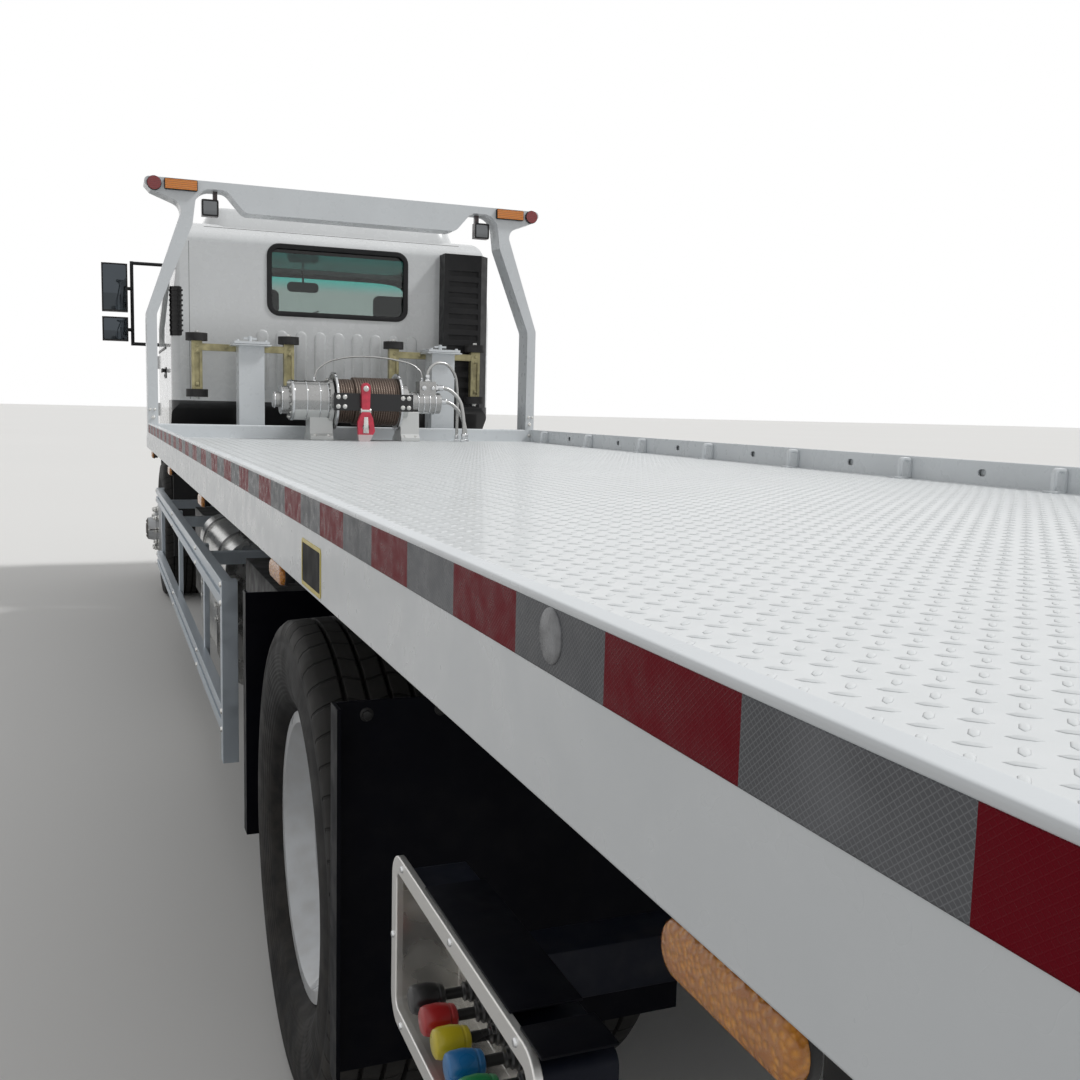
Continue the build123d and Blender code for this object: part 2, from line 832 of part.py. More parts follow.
# Tilt frame: two rails on the hinge pins, with the slide ram's barrel along its middle
y_tilt_front = y_hinge - tilt_frame_length
slide_ram_z = tilt_top - 44.0
slide_barrel_radius = 43.0
slide_bore = 36.0
slide_rod_radius = 25.0
barrel_base = 30.0
piston_length = 50.0
gland_length = 55.0
slide_barrel_length = barrel_base + 10.0 + piston_length + slide_travel + 5.0 + gland_length
slide_barrel_y = (y_tilt_front + 20.0, y_tilt_front + 20.0 + slide_barrel_length)
hinge_ear = 14.0
hinge_ear_gap = 6.0
head_lug_z = (lift_head_z - lug_half, tilt_bottom + 18.0)
lift_head_radius = 20.0
tie_plate = 10.0
guide_reach = 36.0
guide_sheet = 8.0
tilt_cross_ahead = (2400.0, 3700.0, 4800.0, 5600.0)
tilt_tie_ahead = (150.0, 900.0)
guide_ahead = (300.0, 2200.0, 4200.0, 5500.0)
with BuildPart() as tilt_frame:
    for side in (-1, 1):
        x_rail = (side * (tilt_rail_x - tilt_rail_width / 2), side * (tilt_rail_x + tilt_rail_width / 2))
        block(x_rail, (y_tilt_front, y_hinge + 40.0), (tilt_bottom, tilt_top))
        # Rest pads on the chassis
        for ahead in guide_ahead[1:]:
            block(x_rail, (y_hinge - ahead - 60.0, y_hinge - ahead + 60.0), (frame_top + seat_gap, tilt_bottom))
        # Guides beside the deck's runners
        for ahead in guide_ahead:
            x_guide = side * (half_frame + running_gap)
            block(
                (side * (half_frame - 1.0), x_guide + side * guide_sheet),
                (y_hinge - ahead - 60.0, y_hinge - ahead + 60.0),
                (tilt_bottom + 20.0, tilt_top - 10.0),
            )
            block(
                (x_guide, x_guide + side * guide_sheet),
                (y_hinge - ahead - 60.0, y_hinge - ahead + 60.0),
                (tilt_bottom + 20.0, tilt_top + guide_reach),
            )
        # Lift ram head lugs and pin
        for lug in (-1, 1):
            x_lug = side * lift_x + lug * (lift_eye_width / 2 + pin_gap + lug_plate / 2)
            block(
                (x_lug - lug_plate / 2, x_lug + lug_plate / 2),
                (lift_head_y - lug_half, lift_head_y + lug_half),
                head_lug_z,
            )
            bar_x(
                (x_lug - lug * lug_plate / 2, x_lug + lug * (lug_plate / 2 + 8.0)),
                lift_head_y,
                lift_head_z,
                lift_head_radius,
            )
    block(
        (-tilt_rail_x, tilt_rail_x),
        (lift_head_y - lug_half, lift_head_y + lug_half),
        (tilt_bottom, tilt_bottom + 18.0),
    )
    bar_y(0.0, slide_barrel_y, slide_ram_z, slide_barrel_radius)
    for ahead in tilt_cross_ahead:
        block(
            (-tilt_rail_x, tilt_rail_x),
            (y_hinge - ahead - 30.0, y_hinge - ahead + 30.0),
            (tilt_bottom, tilt_top - 8.0),
        )
    for ahead in tilt_tie_ahead:
        block(
            (-tilt_rail_x, tilt_rail_x),
            (y_hinge - ahead - 80.0, y_hinge - ahead + 80.0),
            (tilt_bottom, tilt_bottom + tie_plate),
        )
    bar_y(
        0.0,
        (slide_barrel_y[0] + barrel_base, slide_barrel_y[1] - gland_length),
        slide_ram_z,
        slide_bore,
        mode=Mode.SUBTRACT,
    )
    gland = (slide_barrel_y[1] - gland_length - 1.0, slide_barrel_y[1] + 1.0)
    bar_y(0.0, gland, slide_ram_z, slide_rod_radius + pin_gap, mode=Mode.SUBTRACT)
    # Hinge bores, and room for the hinge plates between the rails' ends
    hinge_reach = (-half_frame - 1.0, half_frame + 1.0)
    bar_x(hinge_reach, y_hinge, hinge_height, hinge_pin_radius + pin_gap, mode=Mode.SUBTRACT)
    for side in (-1, 1):
        x_plate = side * hinge_plate_x
        room = hinge_plate / 2 + hinge_ear_gap
        block(
            (x_plate - room, x_plate + room),
            (y_hinge - 80.0, y_hinge + 60.0),
            (tilt_bottom - 1.0, tilt_top + 1.0),
            mode=Mode.SUBTRACT,
        )
save(tilt_frame.part, "tilt_frame")

# Slide ram's rod, fixed to the deck by a lug that runs above the tie plates
rod_lug_y = (slide_barrel_y[1] + 20.0, slide_barrel_y[1] + 60.0)
piston_y = slide_barrel_y[0] + barrel_base + 10.0
with BuildPart() as slide_rod:
    bar_y(0.0, (piston_y, rod_lug_y[0]), slide_ram_z, slide_rod_radius)
    bar_y(0.0, (piston_y, piston_y + piston_length), slide_ram_z, slide_bore - pin_gap)
    block((-35.0, 35.0), rod_lug_y, (slide_ram_z - 28.0, runner_top))
save(slide_rod.part, "slide_rod")

# Lift rams: barrels on the chassis, rods up to the tilt frame
lift_run = Vector(0.0, lift_head_y - lift_foot_y, lift_head_z - lift_foot_z)
lift_direction = lift_run.normalized()
lift_barrel_radius = 50.0
lift_bore = 40.0
lift_rod_radius = 28.0
lift_barrel_length = 560.0
lift_rod_start = 230.0
lift_eye_radius = 44.0
lift_neck = lug_half + 38.0


def along_lift(side, distance):
    """The point on one lift ram's axis at a distance from its foot."""
    foot = Vector(side * lift_x, lift_foot_y, lift_foot_z)
    return foot + lift_direction * distance


def lift_cylinder(side, start, end, radius, mode=Mode.ADD):
    """A round bar along one lift ram between two distances from its foot."""
    middle = along_lift(side, (start + end) / 2)
    with Locations(Plane(origin=middle, z_dir=lift_direction)):
        Cylinder(radius, end - start, mode=mode)


with BuildPart() as lift_barrels:
    for side in (-1, 1):
        lift_cylinder(side, 0.0, lift_barrel_length, lift_barrel_radius)
        eye_x = (side * lift_x - lift_eye_width / 2, side * lift_x + lift_eye_width / 2)
        bar_x(eye_x, lift_foot_y, lift_foot_z, lift_eye_radius)
        for lug in (-1, 1):
            x_side = side * lift_x + lug * lift_eye_width / 2
            block(
                (x_side, x_side + lug * 30.0),
                (lift_foot_y - lift_neck, lift_foot_y + lift_neck),
                (lift_foot_z - lift_neck, lift_foot_z + lift_neck),
                mode=Mode.SUBTRACT,
            )
        lift_cylinder(
            side,
            lift_rod_start - 5.0,
            lift_barrel_length + 1.0,
            lift_rod_radius + pin_gap,
            mode=Mode.SUBTRACT,
        )
        pin_x = (eye_x[0] - 1.0, eye_x[1] + 1.0)
        bar_x(pin_x, lift_foot_y, lift_foot_z, lift_pin_radius + pin_gap, mode=Mode.SUBTRACT)
save(lift_barrels.part, "lift_barrels")

with BuildPart() as lift_rods:
    for side in (-1, 1):
        lift_cylinder(side, lift_rod_start, lift_run.length, lift_rod_radius)
        bar_x(
            (side * lift_x - lift_eye_width / 2, side * lift_x + lift_eye_width / 2),
            lift_head_y,
            lift_head_z,
            lift_head_radius + 12.0,
        )
save(lift_rods.part, "lift_rods")

# Deck frame: two runners on the tilt frame, and cross members out to the side rails
runner_end = y_tail - 620.0
cross_first = y_curb + 22.0
cross_last = y_tail - 22.0
deck_cross_count = 12
deck_cross_width = 44.0


def tail_rise(y):
    """How far the deck's underside has risen at y, along the tapered tail."""
    into_taper = max(0.0, y - (y_tail - tail_taper))
    return into_taper / tail_taper * (deck_top - tail_depth - rail_bottom)


with BuildPart() as deck_frame:
    for side in (-1, 1):
        x_runner = (side * (tilt_rail_x - runner_width / 2), side * (tilt_rail_x + runner_width / 2))
        block(x_runner, (y_curb, runner_end), (runner_bottom, runner_top))
    for k in range(deck_cross_count):
        y_cross = cross_first + k * (cross_last - cross_first) / (deck_cross_count - 1)
        reach = half_deck - rail_sheet
        block(
            (-reach, reach),
            (y_cross - deck_cross_width / 2, y_cross + deck_cross_width / 2),
            (runner_top + tail_rise(y_cross + deck_cross_width / 2), plate_bottom),
        )
save(deck_frame.part, "deck_frame")

# Tread plate: the clear middle sheet, and a sheet round it below the winch and the rings
weld_gap = 0.5
sheet_half = inner_lip - ring_reach - 25.0
y_sheet = y_curb + 440.0
with BuildPart() as deck_sheet:
    block((-sheet_half, sheet_half), (y_sheet, y_tail), (plate_bottom, deck_top))
save(deck_sheet.part, "deck_plate")

with BuildPart() as deck_edge_plate:
    block((-inner_lip, inner_lip), (y_curb, y_tail), (plate_bottom, deck_top))
    block(
        (-sheet_half - weld_gap, sheet_half + weld_gap),
        (y_sheet - weld_gap, y_tail + 1.0),
        (plate_bottom - 1.0, deck_top + 1.0),
        mode=Mode.SUBTRACT,
    )
save(deck_edge_plate.part, "deck_edge_plate")

# Side rails: a folded sheet with a rounded curb, an inner lip and a bottom flange
fold_radius = 9.0


def side_rail():
    """The left rail with its slots, drawn in (x, z) and run from the curb to the tail."""
    inner = inner_lip
    sheet = rail_sheet
    with BuildPart() as rail:
        with BuildSketch(plane_xz(y_curb)):
            with BuildLine():
                outline(
                    (
                        (half_deck, rail_bottom, 0.0),
                        (half_deck, curb_top, fold_radius),
                        (inner, curb_top, fold_radius),
                        (inner, plate_bottom, 0.0),
                        (inner + sheet, plate_bottom, 0.0),
                        (inner + sheet, curb_top - sheet, fold_radius - sheet),
                        (half_deck - sheet, curb_top - sheet, fold_radius - sheet),
                        (half_deck - sheet, rail_bottom + sheet, 0.0),
                        (half_deck - rail_flange, rail_bottom + sheet, 0.0),
                        (half_deck - rail_flange, rail_bottom, 0.0),
                    )
                )
            make_face()
        extrude(amount=-bed_length)
        slots = [
            (y_curb + ring_first + (k + 0.5) * ring_pitch, deck_top + curb_height / 2)
            for k in range(ring_count - 1)
        ]
        with BuildSketch(Plane.YZ.offset(inner - 1.0)):
            with Locations(*slots):
                SlotOverall(slot_length, slot_height)
        extrude(amount=sheet + 2.0, mode=Mode.SUBTRACT)
        # Tapered tail below, and the curb's sloped end above
        with BuildSketch(Plane.YZ.offset(inner - rail_flange)):
            with BuildLine():
                Polyline(
                    (y_tail - tail_taper, rail_bottom - 1.0),
                    (y_tail - tail_taper, rail_bottom),
                    (y_tail + 1.0, deck_top - tail_depth),
                    (y_tail + 1.0, rail_bottom - 1.0),
                    close=True,
                )
            make_face()
            with BuildLine():
                Polyline(
                    (y_tail - 150.0, curb_top + 1.0),
                    (y_tail + 1.0, deck_top + 12.0),
                    (y_tail + 1.0, curb_top + 1.0),
                    close=True,
                )
            make_face()
        extrude(amount=2 * rail_flange, mode=Mode.SUBTRACT)
    return rail.part


save(both_sides(side_rail()), "side_rails")

# Front sill, open below, with the front curb along its rear edge
post_width = 55.0
sill_sheet = 8.0
with BuildPart() as front_sill:
    block((-half_deck, half_deck), (y_sill, y_curb), (rail_bottom, deck_top))
    block(
        (-half_deck + sill_sheet, half_deck - sill_sheet),
        (y_sill + sill_sheet, y_curb - sill_sheet),
        (rail_bottom - 1.0, deck_top - sill_sheet),
        mode=Mode.SUBTRACT,
    )
    with BuildSketch(Plane.YZ.offset(-half_deck + post_width)):
        with BuildLine():
            outline(
                (
                    (y_curb - curb_thickness, deck_top - 1.0, 0.0),
                    (y_curb - curb_thickness, curb_top, fold_radius),
                    (y_curb, curb_top, fold_radius),
                    (y_curb, deck_top - 1.0, 0.0),
                )
            )
        make_face()
    extrude(amount=2 * (half_deck - post_width))
save(front_sill.part, "front_sill")

# Lashing rings: a bow from the curb to the deck, with a foot plate
ring_foot = 50.0
ring_foot_sheet = 6.0
with BuildPart() as lashing_rings:
    for k in range(ring_count):
        y_ring = y_curb + ring_first + k * ring_pitch
        with BuildSketch(plane_xz(y_ring - ring_bar / 2)):
            with BuildLine():
                outline(
                    (
                        (inner_lip, deck_top, 0.0),
                        (inner_lip, curb_top - 4.0, 18.0),
                        (inner_lip - ring_reach, curb_top - 4.0, 18.0),
                        (inner_lip - ring_reach, deck_top, 0.0),
                        (inner_lip - ring_reach + ring_bar, deck_top, 0.0),
                        (inner_lip - ring_reach + ring_bar, curb_top - 4.0 - ring_bar, 8.0),
                        (inner_lip - ring_bar, curb_top - 4.0 - ring_bar, 8.0),
                        (inner_lip - ring_bar, deck_top, 0.0),
                    )
                )
            make_face()
        extrude(amount=-ring_bar)
        block(
            (inner_lip - ring_reach - 12.0, inner_lip - ring_reach + 24.0),
            (y_ring - ring_foot / 2, y_ring + ring_foot / 2),
            (deck_top, deck_top + ring_foot_sheet),
        )
    mirror(lashing_rings.part, about=Plane.YZ)
save(lashing_rings.part, "lashing_rings")

# Amber marker lamps below the side rails
marker_size = (30.0, 130.0, 45.0)
marker_inset = 5.0
marker_from_tail = (399.0, 1889.0, 3379.0, 4869.0, 6359.0)
with BuildPart() as side_markers:
    for from_tail in marker_from_tail:
        y_marker = y_tail - from_tail
        marker_top = rail_bottom + tail_rise(y_marker - marker_size[1] / 2)
        block(
            (half_deck - marker_inset - marker_size[0], half_deck - marker_inset),
            (y_marker - marker_size[1] / 2, y_marker + marker_size[1] / 2),
            (marker_top - marker_size[2], marker_top),
        )
    mirror(side_markers.part, about=Plane.YZ)
save(side_markers.part, "side_markers")

# Headboard: a portal with wings and an arch below each wing, drawn by the height above the deck
headboard_y = (y_curb - 150.0, y_curb)
headboard_top = 1420.0
headboard_rows = (
    (half_deck, 0.0, 0.0),
    (half_deck, 686.0, 60.0),
    (950.0, 1285.0, 60.0),
    (1125.0, 1352.0, 10.0),
    (half_deck, 1385.0, 10.0),
    (half_deck, headboard_top, 25.0),
)
arch_height = 1378.0
headboard_inner_rows = (
    (620.0, 1262.0, 60.0),
    (720.0, arch_height, 60.0),
    (880.0, arch_height, 90.0),
    (905.0, 1180.0, 40.0),
    (half_deck - post_width, 680.0, 60.0),
    (half_deck - post_width, 0.0, 0.0),
)


def flipped(rows):
    """The rows mirrored to the other side, last to first."""
    return [(-u, v, radius) for u, v, radius in reversed(rows)]


def above_deck(rows):
    """The rows of a closed outline whose heights count from the deck's top."""
    return [(u, deck_top + v, radius) for u, v, radius in rows]


with BuildPart() as headboard:
    with BuildSketch(plane_xz(headboard_y[0])):
        with BuildLine():
            outer = [*headboard_rows, *flipped(headboard_rows)]
            inner = [*flipped(headboard_inner_rows), *headboard_inner_rows]
            outline(above_deck([*outer, *inner]))
        make_face()
    extrude(amount=headboard_y[0] - headboard_y[1])
save(headboard.part, "headboard")

# Lamps on the headboard: red ends, amber markers beside them, and work lamps below the arches
end_lamp_radius = 36.0
end_lamp_x = half_deck - 50.0
end_lamp_z = deck_top + headboard_top - end_lamp_radius
amber_x = (880.0, 1048.0)
amber_size = 52.0
amber_z = (deck_top + headboard_top - 8.0 - amber_size, deck_top + headboard_top - 8.0)
head_lamp_depth = 22.0
work_lamp_x = (760.0, 850.0)
work_lamp_size = 90.0
work_lamp_drop = 48.0
work_lamp_top = deck_top + arch_height - work_lamp_drop
work_lamp_depth = 55.0
with BuildPart() as headboard_lamps:
    lamp_back = headboard_y[1] + head_lamp_depth
    for side in (-1, 1):
        bar_y(side * end_lamp_x, (headboard_y[1], lamp_back), end_lamp_z, end_lamp_radius)
        block(
            (side * amber_x[0], side * amber_x[1]),
            (headboard_y[1], lamp_back),
            amber_z,
        )
        work_y = (headboard_y[0] + 45.0, headboard_y[0] + 45.0 + work_lamp_depth)
        block(
            (side * work_lamp_x[0], side * work_lamp_x[1]),
            work_y,
            (work_lamp_top - work_lamp_size, work_lamp_top),
        )
        block(
            (side * (work_lamp_x[0] + 4.0), side * (work_lamp_x[0] + 28.0)),
            (work_y[0] + 10.0, work_y[1] - 15.0),
            (work_lamp_top, deck_top + arch_height),
        )
save(headboard_lamps.part, "headboard_lamps")

# Winch across the deck's front: gearbox on the left, motor on the right, drum between
winch_y = y_curb + 200.0
winch_z = deck_top + 225.0
gearbox_x = (173.0, 410.0)
gearbox_radius = 112.0
gearbox_nose_x = 500.0
motor_x = (-470.0, -223.0)
motor_radius = 62.0
drum_x = (-215.0, 165.0)
drum_flange = 12.0
drum_flange_radius = 164.0
drum_core_radius = 90.0
drum_shaft_radius = 28.0
drum_journal = 36.0
pack_radius = 138.0
winch_foot_height = 175.0
# Each row: from x, to x
winch_feet = ((173.0, 302.0), (-333.0, -223.0))
foot_rows = (
    (-128.0, 0.0, 6.0),
    (-128.0, 22.0, 10.0),
    (-84.0, 40.0, 14.0),
    (-58.0, winch_foot_height, 10.0),
    (58.0, winch_foot_height, 10.0),
    (66.0, 40.0, 14.0),
    (84.0, 22.0, 10.0),
    (84.0, 0.0, 6.0),
)
tie_bar_x = (-265.0, 190.0)
tie_bar_y = (winch_y + 171.0, winch_y + 183.0)
tie_bar_z = (deck_top + 172.0, deck_top + 269.0)
tie_arm = 17.0
with BuildPart() as winch_frame:
    for foot_x in winch_feet:
        with BuildSketch(Plane.YZ.offset(min(foot_x))):
            with BuildLine():
                outline([(winch_y + u, deck_top + v, radius) for u, v, radius in foot_rows])
            make_face()
        extrude(amount=abs(foot_x[1] - foot_x[0]))
    bar_x(gearbox_x, winch_y, winch_z, gearbox_radius)
    bar_x((gearbox_x[1], gearbox_x[1] + 50.0), winch_y, winch_z, 78.0)
    bar_x((gearbox_x[1] + 50.0, gearbox_nose_x), winch_y, winch_z, 42.0)
    bar_x((gearbox_x[0], gearbox_x[0] + 22.0), winch_y, winch_z, gearbox_radius + 16.0)
    bar_x((motor_x[1] - 40.0, motor_x[1]), winch_y, winch_z, 104.0)
    bar_x(motor_x, winch_y, winch_z, motor_radius)
    block(
        (motor_x[0] + 30.0, motor_x[0] + 130.0),
        (winch_y - 45.0, winch_y + 45.0),
        (winch_z, winch_z + 125.0),
    )
    for arm_x in (tie_bar_x[1] - tie_arm, -223.0 - tie_arm):
        block(
            (arm_x, arm_x + tie_arm),
            (winch_y, tie_bar_y[1]),
            (tie_bar_z[0] + 10.0, tie_bar_z[1] - 10.0),
        )
    block(tie_bar_x, tie_bar_y, tie_bar_z)
    for end, inward in ((gearbox_x[0], 1), (motor_x[1], -1)):
        bar_x(
            (end - inward, end + inward * (drum_journal + 2.0)),
            winch_y,
            winch_z,
            drum_shaft_radius + pin_gap,
            mode=Mode.SUBTRACT,
        )
save(winch_frame.part, "winch_frame")

with BuildPart() as winch_drum:
    bar_x((drum_x[0] - drum_journal, drum_x[1] + drum_journal), winch_y, winch_z, drum_shaft_radius)
    bar_x(drum_x, winch_y, winch_z, drum_core_radius)
    bar_x((drum_x[0], drum_x[0] + drum_flange), winch_y, winch_z, drum_flange_radius)
    bar_x((drum_x[1] - drum_flange, drum_x[1]), winch_y, winch_z, drum_flange_radius)
save(winch_drum.part, "winch_drum")

with BuildPart() as winch_rope:
    pack_x = (drum_x[0] + drum_flange, drum_x[1] - drum_flange)
    bar_x(pack_x, winch_y, winch_z, pack_radius)
    bar_x(pack_x, winch_y, winch_z, drum_core_radius, mode=Mode.SUBTRACT)
save(winch_rope.part, "winch_rope")


def tube(points, radius):
    """A round hose of straight runs joined by arcs as large as the runs allow."""
    corners = [Vector(*point) for point in points]
    radii = []
    for before, here, after in zip(corners, corners[1:], corners[2:]):
        arriving = here - before
        leaving = after - here
        half_turn = radians(arriving.get_angle(leaving)) / 2
        radii.append(0.45 * min(arriving.length, leaving.length) / tan(half_turn))
    print("hose radius", radius, "bends", [round(bend) for bend in radii])
    with BuildPart() as hose:
        with BuildLine() as route:
            FilletPolyline(*points, radius=radii)
        with BuildSketch(Plane(origin=route.line @ 0, z_dir=route.line % 0)):
            Circle(radius)
        sweep()
    return hose.part


# Hoses: x, distance behind the winch's axis and height above the deck of each point
pressure_hose = (
    (-440.3, 18.0, 315.0),
    (-525.0, 18.0, 315.0),
    (-598.0, 24.0, 248.0),
    (-618.0, 34.0, 125.0),
    (-618.0, 34.0, 0.3),
)
return_hose = (
    (-470.3, -20.0, 235.0),
    (-545.0, -20.0, 235.0),
    (-606.0, -14.0, 178.0),
    (-640.0, -4.0, 90.0),
    (-640.0, -4.0, 0.3),
)
drain_hose = (
    (-400.0, -5.0, 350.3),
    (-400.0, -5.0, 415.0),
    (-450.0, -14.0, 465.0),
    (-530.0, -26.0, 462.0),
    (-585.0, -40.0, 395.0),
    (-604.0, -58.0, 275.0),
    (-606.0, -70.0, 140.0),
    (-606.0, -70.0, 0.3),
)
clutch_cable = (
    (-370.0, -20.0, 350.3),
    (-370.0, -20.0, 402.0),
    (-318.0, -32.0, 450.0),
    (-200.0, -44.0, 476.0),
    (-70.0, -50.0, 486.0),
    (60.0, -50.0, 480.0),
    (180.0, -42.0, 450.0),
    (250.0, -32.0, 398.0),
    (262.0, -30.0, 334.8),
)
hose_rows = (
    (pressure_hose, 11.0),
    (return_hose, 11.0),
    (drain_hose, 9.0),
    (clutch_cable, 5.0),
)
hoses = []
for points, radius in hose_rows:
    placed = [(x, winch_y + behind, deck_top + height) for x, behind, height in points]
    hoses.append(tube(placed, radius))
save(Compound(children=hoses), "winch_hoses")

# Tow hook, standing on the deck against the winch's tie bar
hook_x = 15.0
hook_y = (tie_bar_y[1], tie_bar_y[1] + 30.0)
with BuildPart() as tow_hook:
    with BuildSketch(plane_xz(hook_y[0])):
        with BuildLine():
            outline(
                above_deck(
                    (
                        (hook_x - 22.0, 0.0, 0.0),
                        (hook_x - 52.0, 60.0, 20.0),
                        (hook_x - 40.0, 130.0, 30.0),
                        (hook_x - 22.0, 170.0, 20.0),
                        (hook_x - 26.0, 328.0, 24.0),
                        (hook_x + 26.0, 328.0, 24.0),
                        (hook_x + 22.0, 170.0, 20.0),
                        (hook_x + 46.0, 110.0, 30.0),
                        (hook_x + 40.0, 0.0, 12.0),
                    )
                )
            )
        make_face()
        with Locations((hook_x, deck_top + 80.0)):
            Circle(20.0, mode=Mode.SUBTRACT)
        with Locations((hook_x, deck_top + 296.0)):
            Circle(11.0, mode=Mode.SUBTRACT)
    extrude(amount=hook_y[0] - hook_y[1])
save(tow_hook.part, "tow_hook")

# Dolly posts behind the cab, each with a cap plate that clamps a folded dolly frame
post_x = 578.0
post_size = 145.0
post_y = y_curb - 150.0
post_height = 540.0
cap_size = 200.0
cap_sheet = 15.0
with BuildPart() as dolly_posts:
    for side in (-1, 1):
        x_post = side * post_x
        block(
            (x_post - post_size / 2, x_post + post_size / 2),
            (post_y - post_size / 2, post_y + post_size / 2),
            (deck_top, deck_top + post_height),
        )
        block(
            (x_post - cap_size / 2, x_post + cap_size / 2),
            (post_y - cap_size / 2, post_y + cap_size / 2),
            (deck_top + post_height, deck_top + post_height + cap_sheet),
        )
        nut_z = deck_top + post_height + cap_sheet
        bar_z(x_post, post_y, (nut_z, nut_z + 34.0), 11.0)
        block((x_post - 38.0, x_post + 38.0), (post_y - 5.0, post_y + 5.0), (nut_z + 14.0, nut_z + 26.0))
save(dolly_posts.part, "dolly_posts")

# Folded dolly frames: a bar in front of the post and a channel arm at each end
dolly_middles = (606.0, -568.0)
dolly_half = 265.0
dolly_bar = 40.0
dolly_arm_size = (60.0, 46.0)
dolly_arm_height = (275.0, 555.0)
dolly_groove = 14.0
dolly_y = post_y - post_size / 2 - dolly_bar / 2
with BuildPart() as dolly_frames:
    for middle in dolly_middles:
        block(
            (middle - dolly_half, middle + dolly_half),
            (dolly_y - dolly_bar / 2, dolly_y + dolly_bar / 2),
            (deck_top + post_height - dolly_bar, deck_top + post_height),
        )
        for end in (-1, 1):
            x_arm = middle + end * dolly_half
            arm_z = (deck_top + dolly_arm_height[0], deck_top + dolly_arm_height[1])
            block(
                (x_arm - dolly_arm_size[0] / 2, x_arm + dolly_arm_size[0] / 2),
                (dolly_y - dolly_arm_size[1] / 2, dolly_y + dolly_arm_size[1] / 2),
                arm_z,
            )
            block(
                (x_arm - dolly_groove, x_arm + dolly_groove),
                (dolly_y + dolly_arm_size[1] / 2 - dolly_groove, dolly_y + dolly_arm_size[1] / 2 + 1.0),
                (arm_z[0] + 12.0, arm_z[1] - 70.0),
                mode=Mode.SUBTRACT,
            )
save(dolly_frames.part, "dolly_frames")

dolly_wheel_radius = 62.0
dolly_wheel_width = 45.0
with BuildPart() as dolly_wheels:
    for middle in dolly_middles:
        for end in (-1, 1):
            for start in (dolly_arm_height[1], dolly_arm_height[0] - dolly_wheel_width):
                bar_z(
                    middle + end * dolly_half,
                    dolly_y,
                    (deck_top + start, deck_top + start + dolly_wheel_width),
                    dolly_wheel_radius,
                )
save(dolly_wheels.part, "dolly_wheels")

# Underlift: an arm between the chassis cheeks, a sliding extension and a swivelling crossbar
arm_tube = (410.0, 530.0)
arm_wall = 9.5
arm_tube_start = arm_pivot_y + 70.0
arm_end = y_rear_axle + 1700.0
extension_start = arm_tube_start + 90.0
extension_size = 100.0
crossbar_y = y_rear_axle + 1800.0
crossbar_half = 500.0
crossbar_size = 90.0
crossbar_pin_radius = 24.0
receiver_size = 60.0
receiver_wall = 12.0
arm_middle_z = sum(arm_tube) / 2
with BuildPart() as underlift_arm:
    arm_x = (-arm_width / 2, arm_width / 2)
    bar_x(arm_x, arm_pivot_y, arm_pivot_z, 55.0)
    block(arm_x, (arm_pivot_y, arm_end), arm_tube)
    bore_half = arm_width / 2 - arm_wall
    block(
        (-bore_half, bore_half),
        (arm_tube_start, arm_end + 1.0),
        (arm_middle_z - bore_half, arm_middle_z + bore_half),
        mode=Mode.SUBTRACT,
    )
    pin_bore = (-arm_width, arm_width)
    bar_x(pin_bore, arm_pivot_y, arm_pivot_z, arm_pin_radius + pin_gap, mode=Mode.SUBTRACT)
save(underlift_arm.part, "underlift_arm")

with BuildPart() as underlift_extension:
    half = extension_size / 2
    extension_z = (arm_middle_z - half, arm_middle_z + half)
    block((-half, half), (extension_start, crossbar_y + 45.0), extension_z)
    pin_top = extension_z[1] + pin_gap + crossbar_size + 6.0
    bar_z(0.0, crossbar_y, (arm_middle_z, pin_top), crossbar_pin_radius)
save(underlift_extension.part, "underlift_extension")

with BuildPart() as underlift_crossbar:
    bar_z0 = extension_z[1] + pin_gap
    crossbar_z = (bar_z0, bar_z0 + crossbar_size)
    block(
        (-crossbar_half, crossbar_half),
        (crossbar_y - crossbar_size / 2, crossbar_y + crossbar_size / 2),
        crossbar_z,
    )
    bar_z(0.0, crossbar_y, (crossbar_z[0] - 1.0, crossbar_z[1] + 1.0), crossbar_pin_radius + pin_gap, Mode.SUBTRACT)
    for side in (-1, 1):
        x_receiver = side * (crossbar_half - crossbar_size / 2)
        half_hole = receiver_size / 2
        receiver_top = crossbar_z[1] + 30.0
        block(
            (x_receiver - half_hole - receiver_wall, x_receiver + half_hole + receiver_wall),
            (crossbar_y - half_hole - receiver_wall, crossbar_y + half_hole + receiver_wall),
            (crossbar_z[0], receiver_top),
        )
        block(
            (x_receiver - half_hole, x_receiver + half_hole),
            (crossbar_y - half_hole, crossbar_y + half_hole),
            (crossbar_z[0] - 1.0, receiver_top + 1.0),
            mode=Mode.SUBTRACT,
        )
save(underlift_crossbar.part, "underlift_crossbar")

# Cab: three outlines cut into each other. Side rows are (y behind the cab's front, z, radius)
cab_side_rows = (
    (20.0, cab_floor, 20.0),
    (0.0, 1100.0, 60.0),
    (0.0, 1560.0, 250.0),
    (250.0, 2230.0, 90.0),
    (430.0, 2330.0, 150.0),
    (900.0, cab_height, 400.0),
    (1500.0, 2325.0, 90.0),
    (cab_length, 2240.0, 80.0),
    (cab_length, 1230.0, 60.0),
    (1480.0, 1110.0, 60.0),
    (1250.0, cab_floor, 60.0),
)
# The rear and plan outlines lie this far off the planes that they share with another, so that
# each face of the body has one owner
face_offset = 0.5
cab_rear_rows = (
    (cab_width / 2 + face_offset, cab_floor - face_offset, 0.0),
    (cab_width / 2 + face_offset, 1750.0, 400.0),
    (938.0, 2300.0, 60.0),
    (860.0, cab_height, 90.0),
)
cab_plan_rows = (
    (-700.0, face_offset, 200.0),
    (-cab_width / 2, 130.0, 150.0),
    (-cab_width / 2, cab_length + face_offset, 60.0),
)


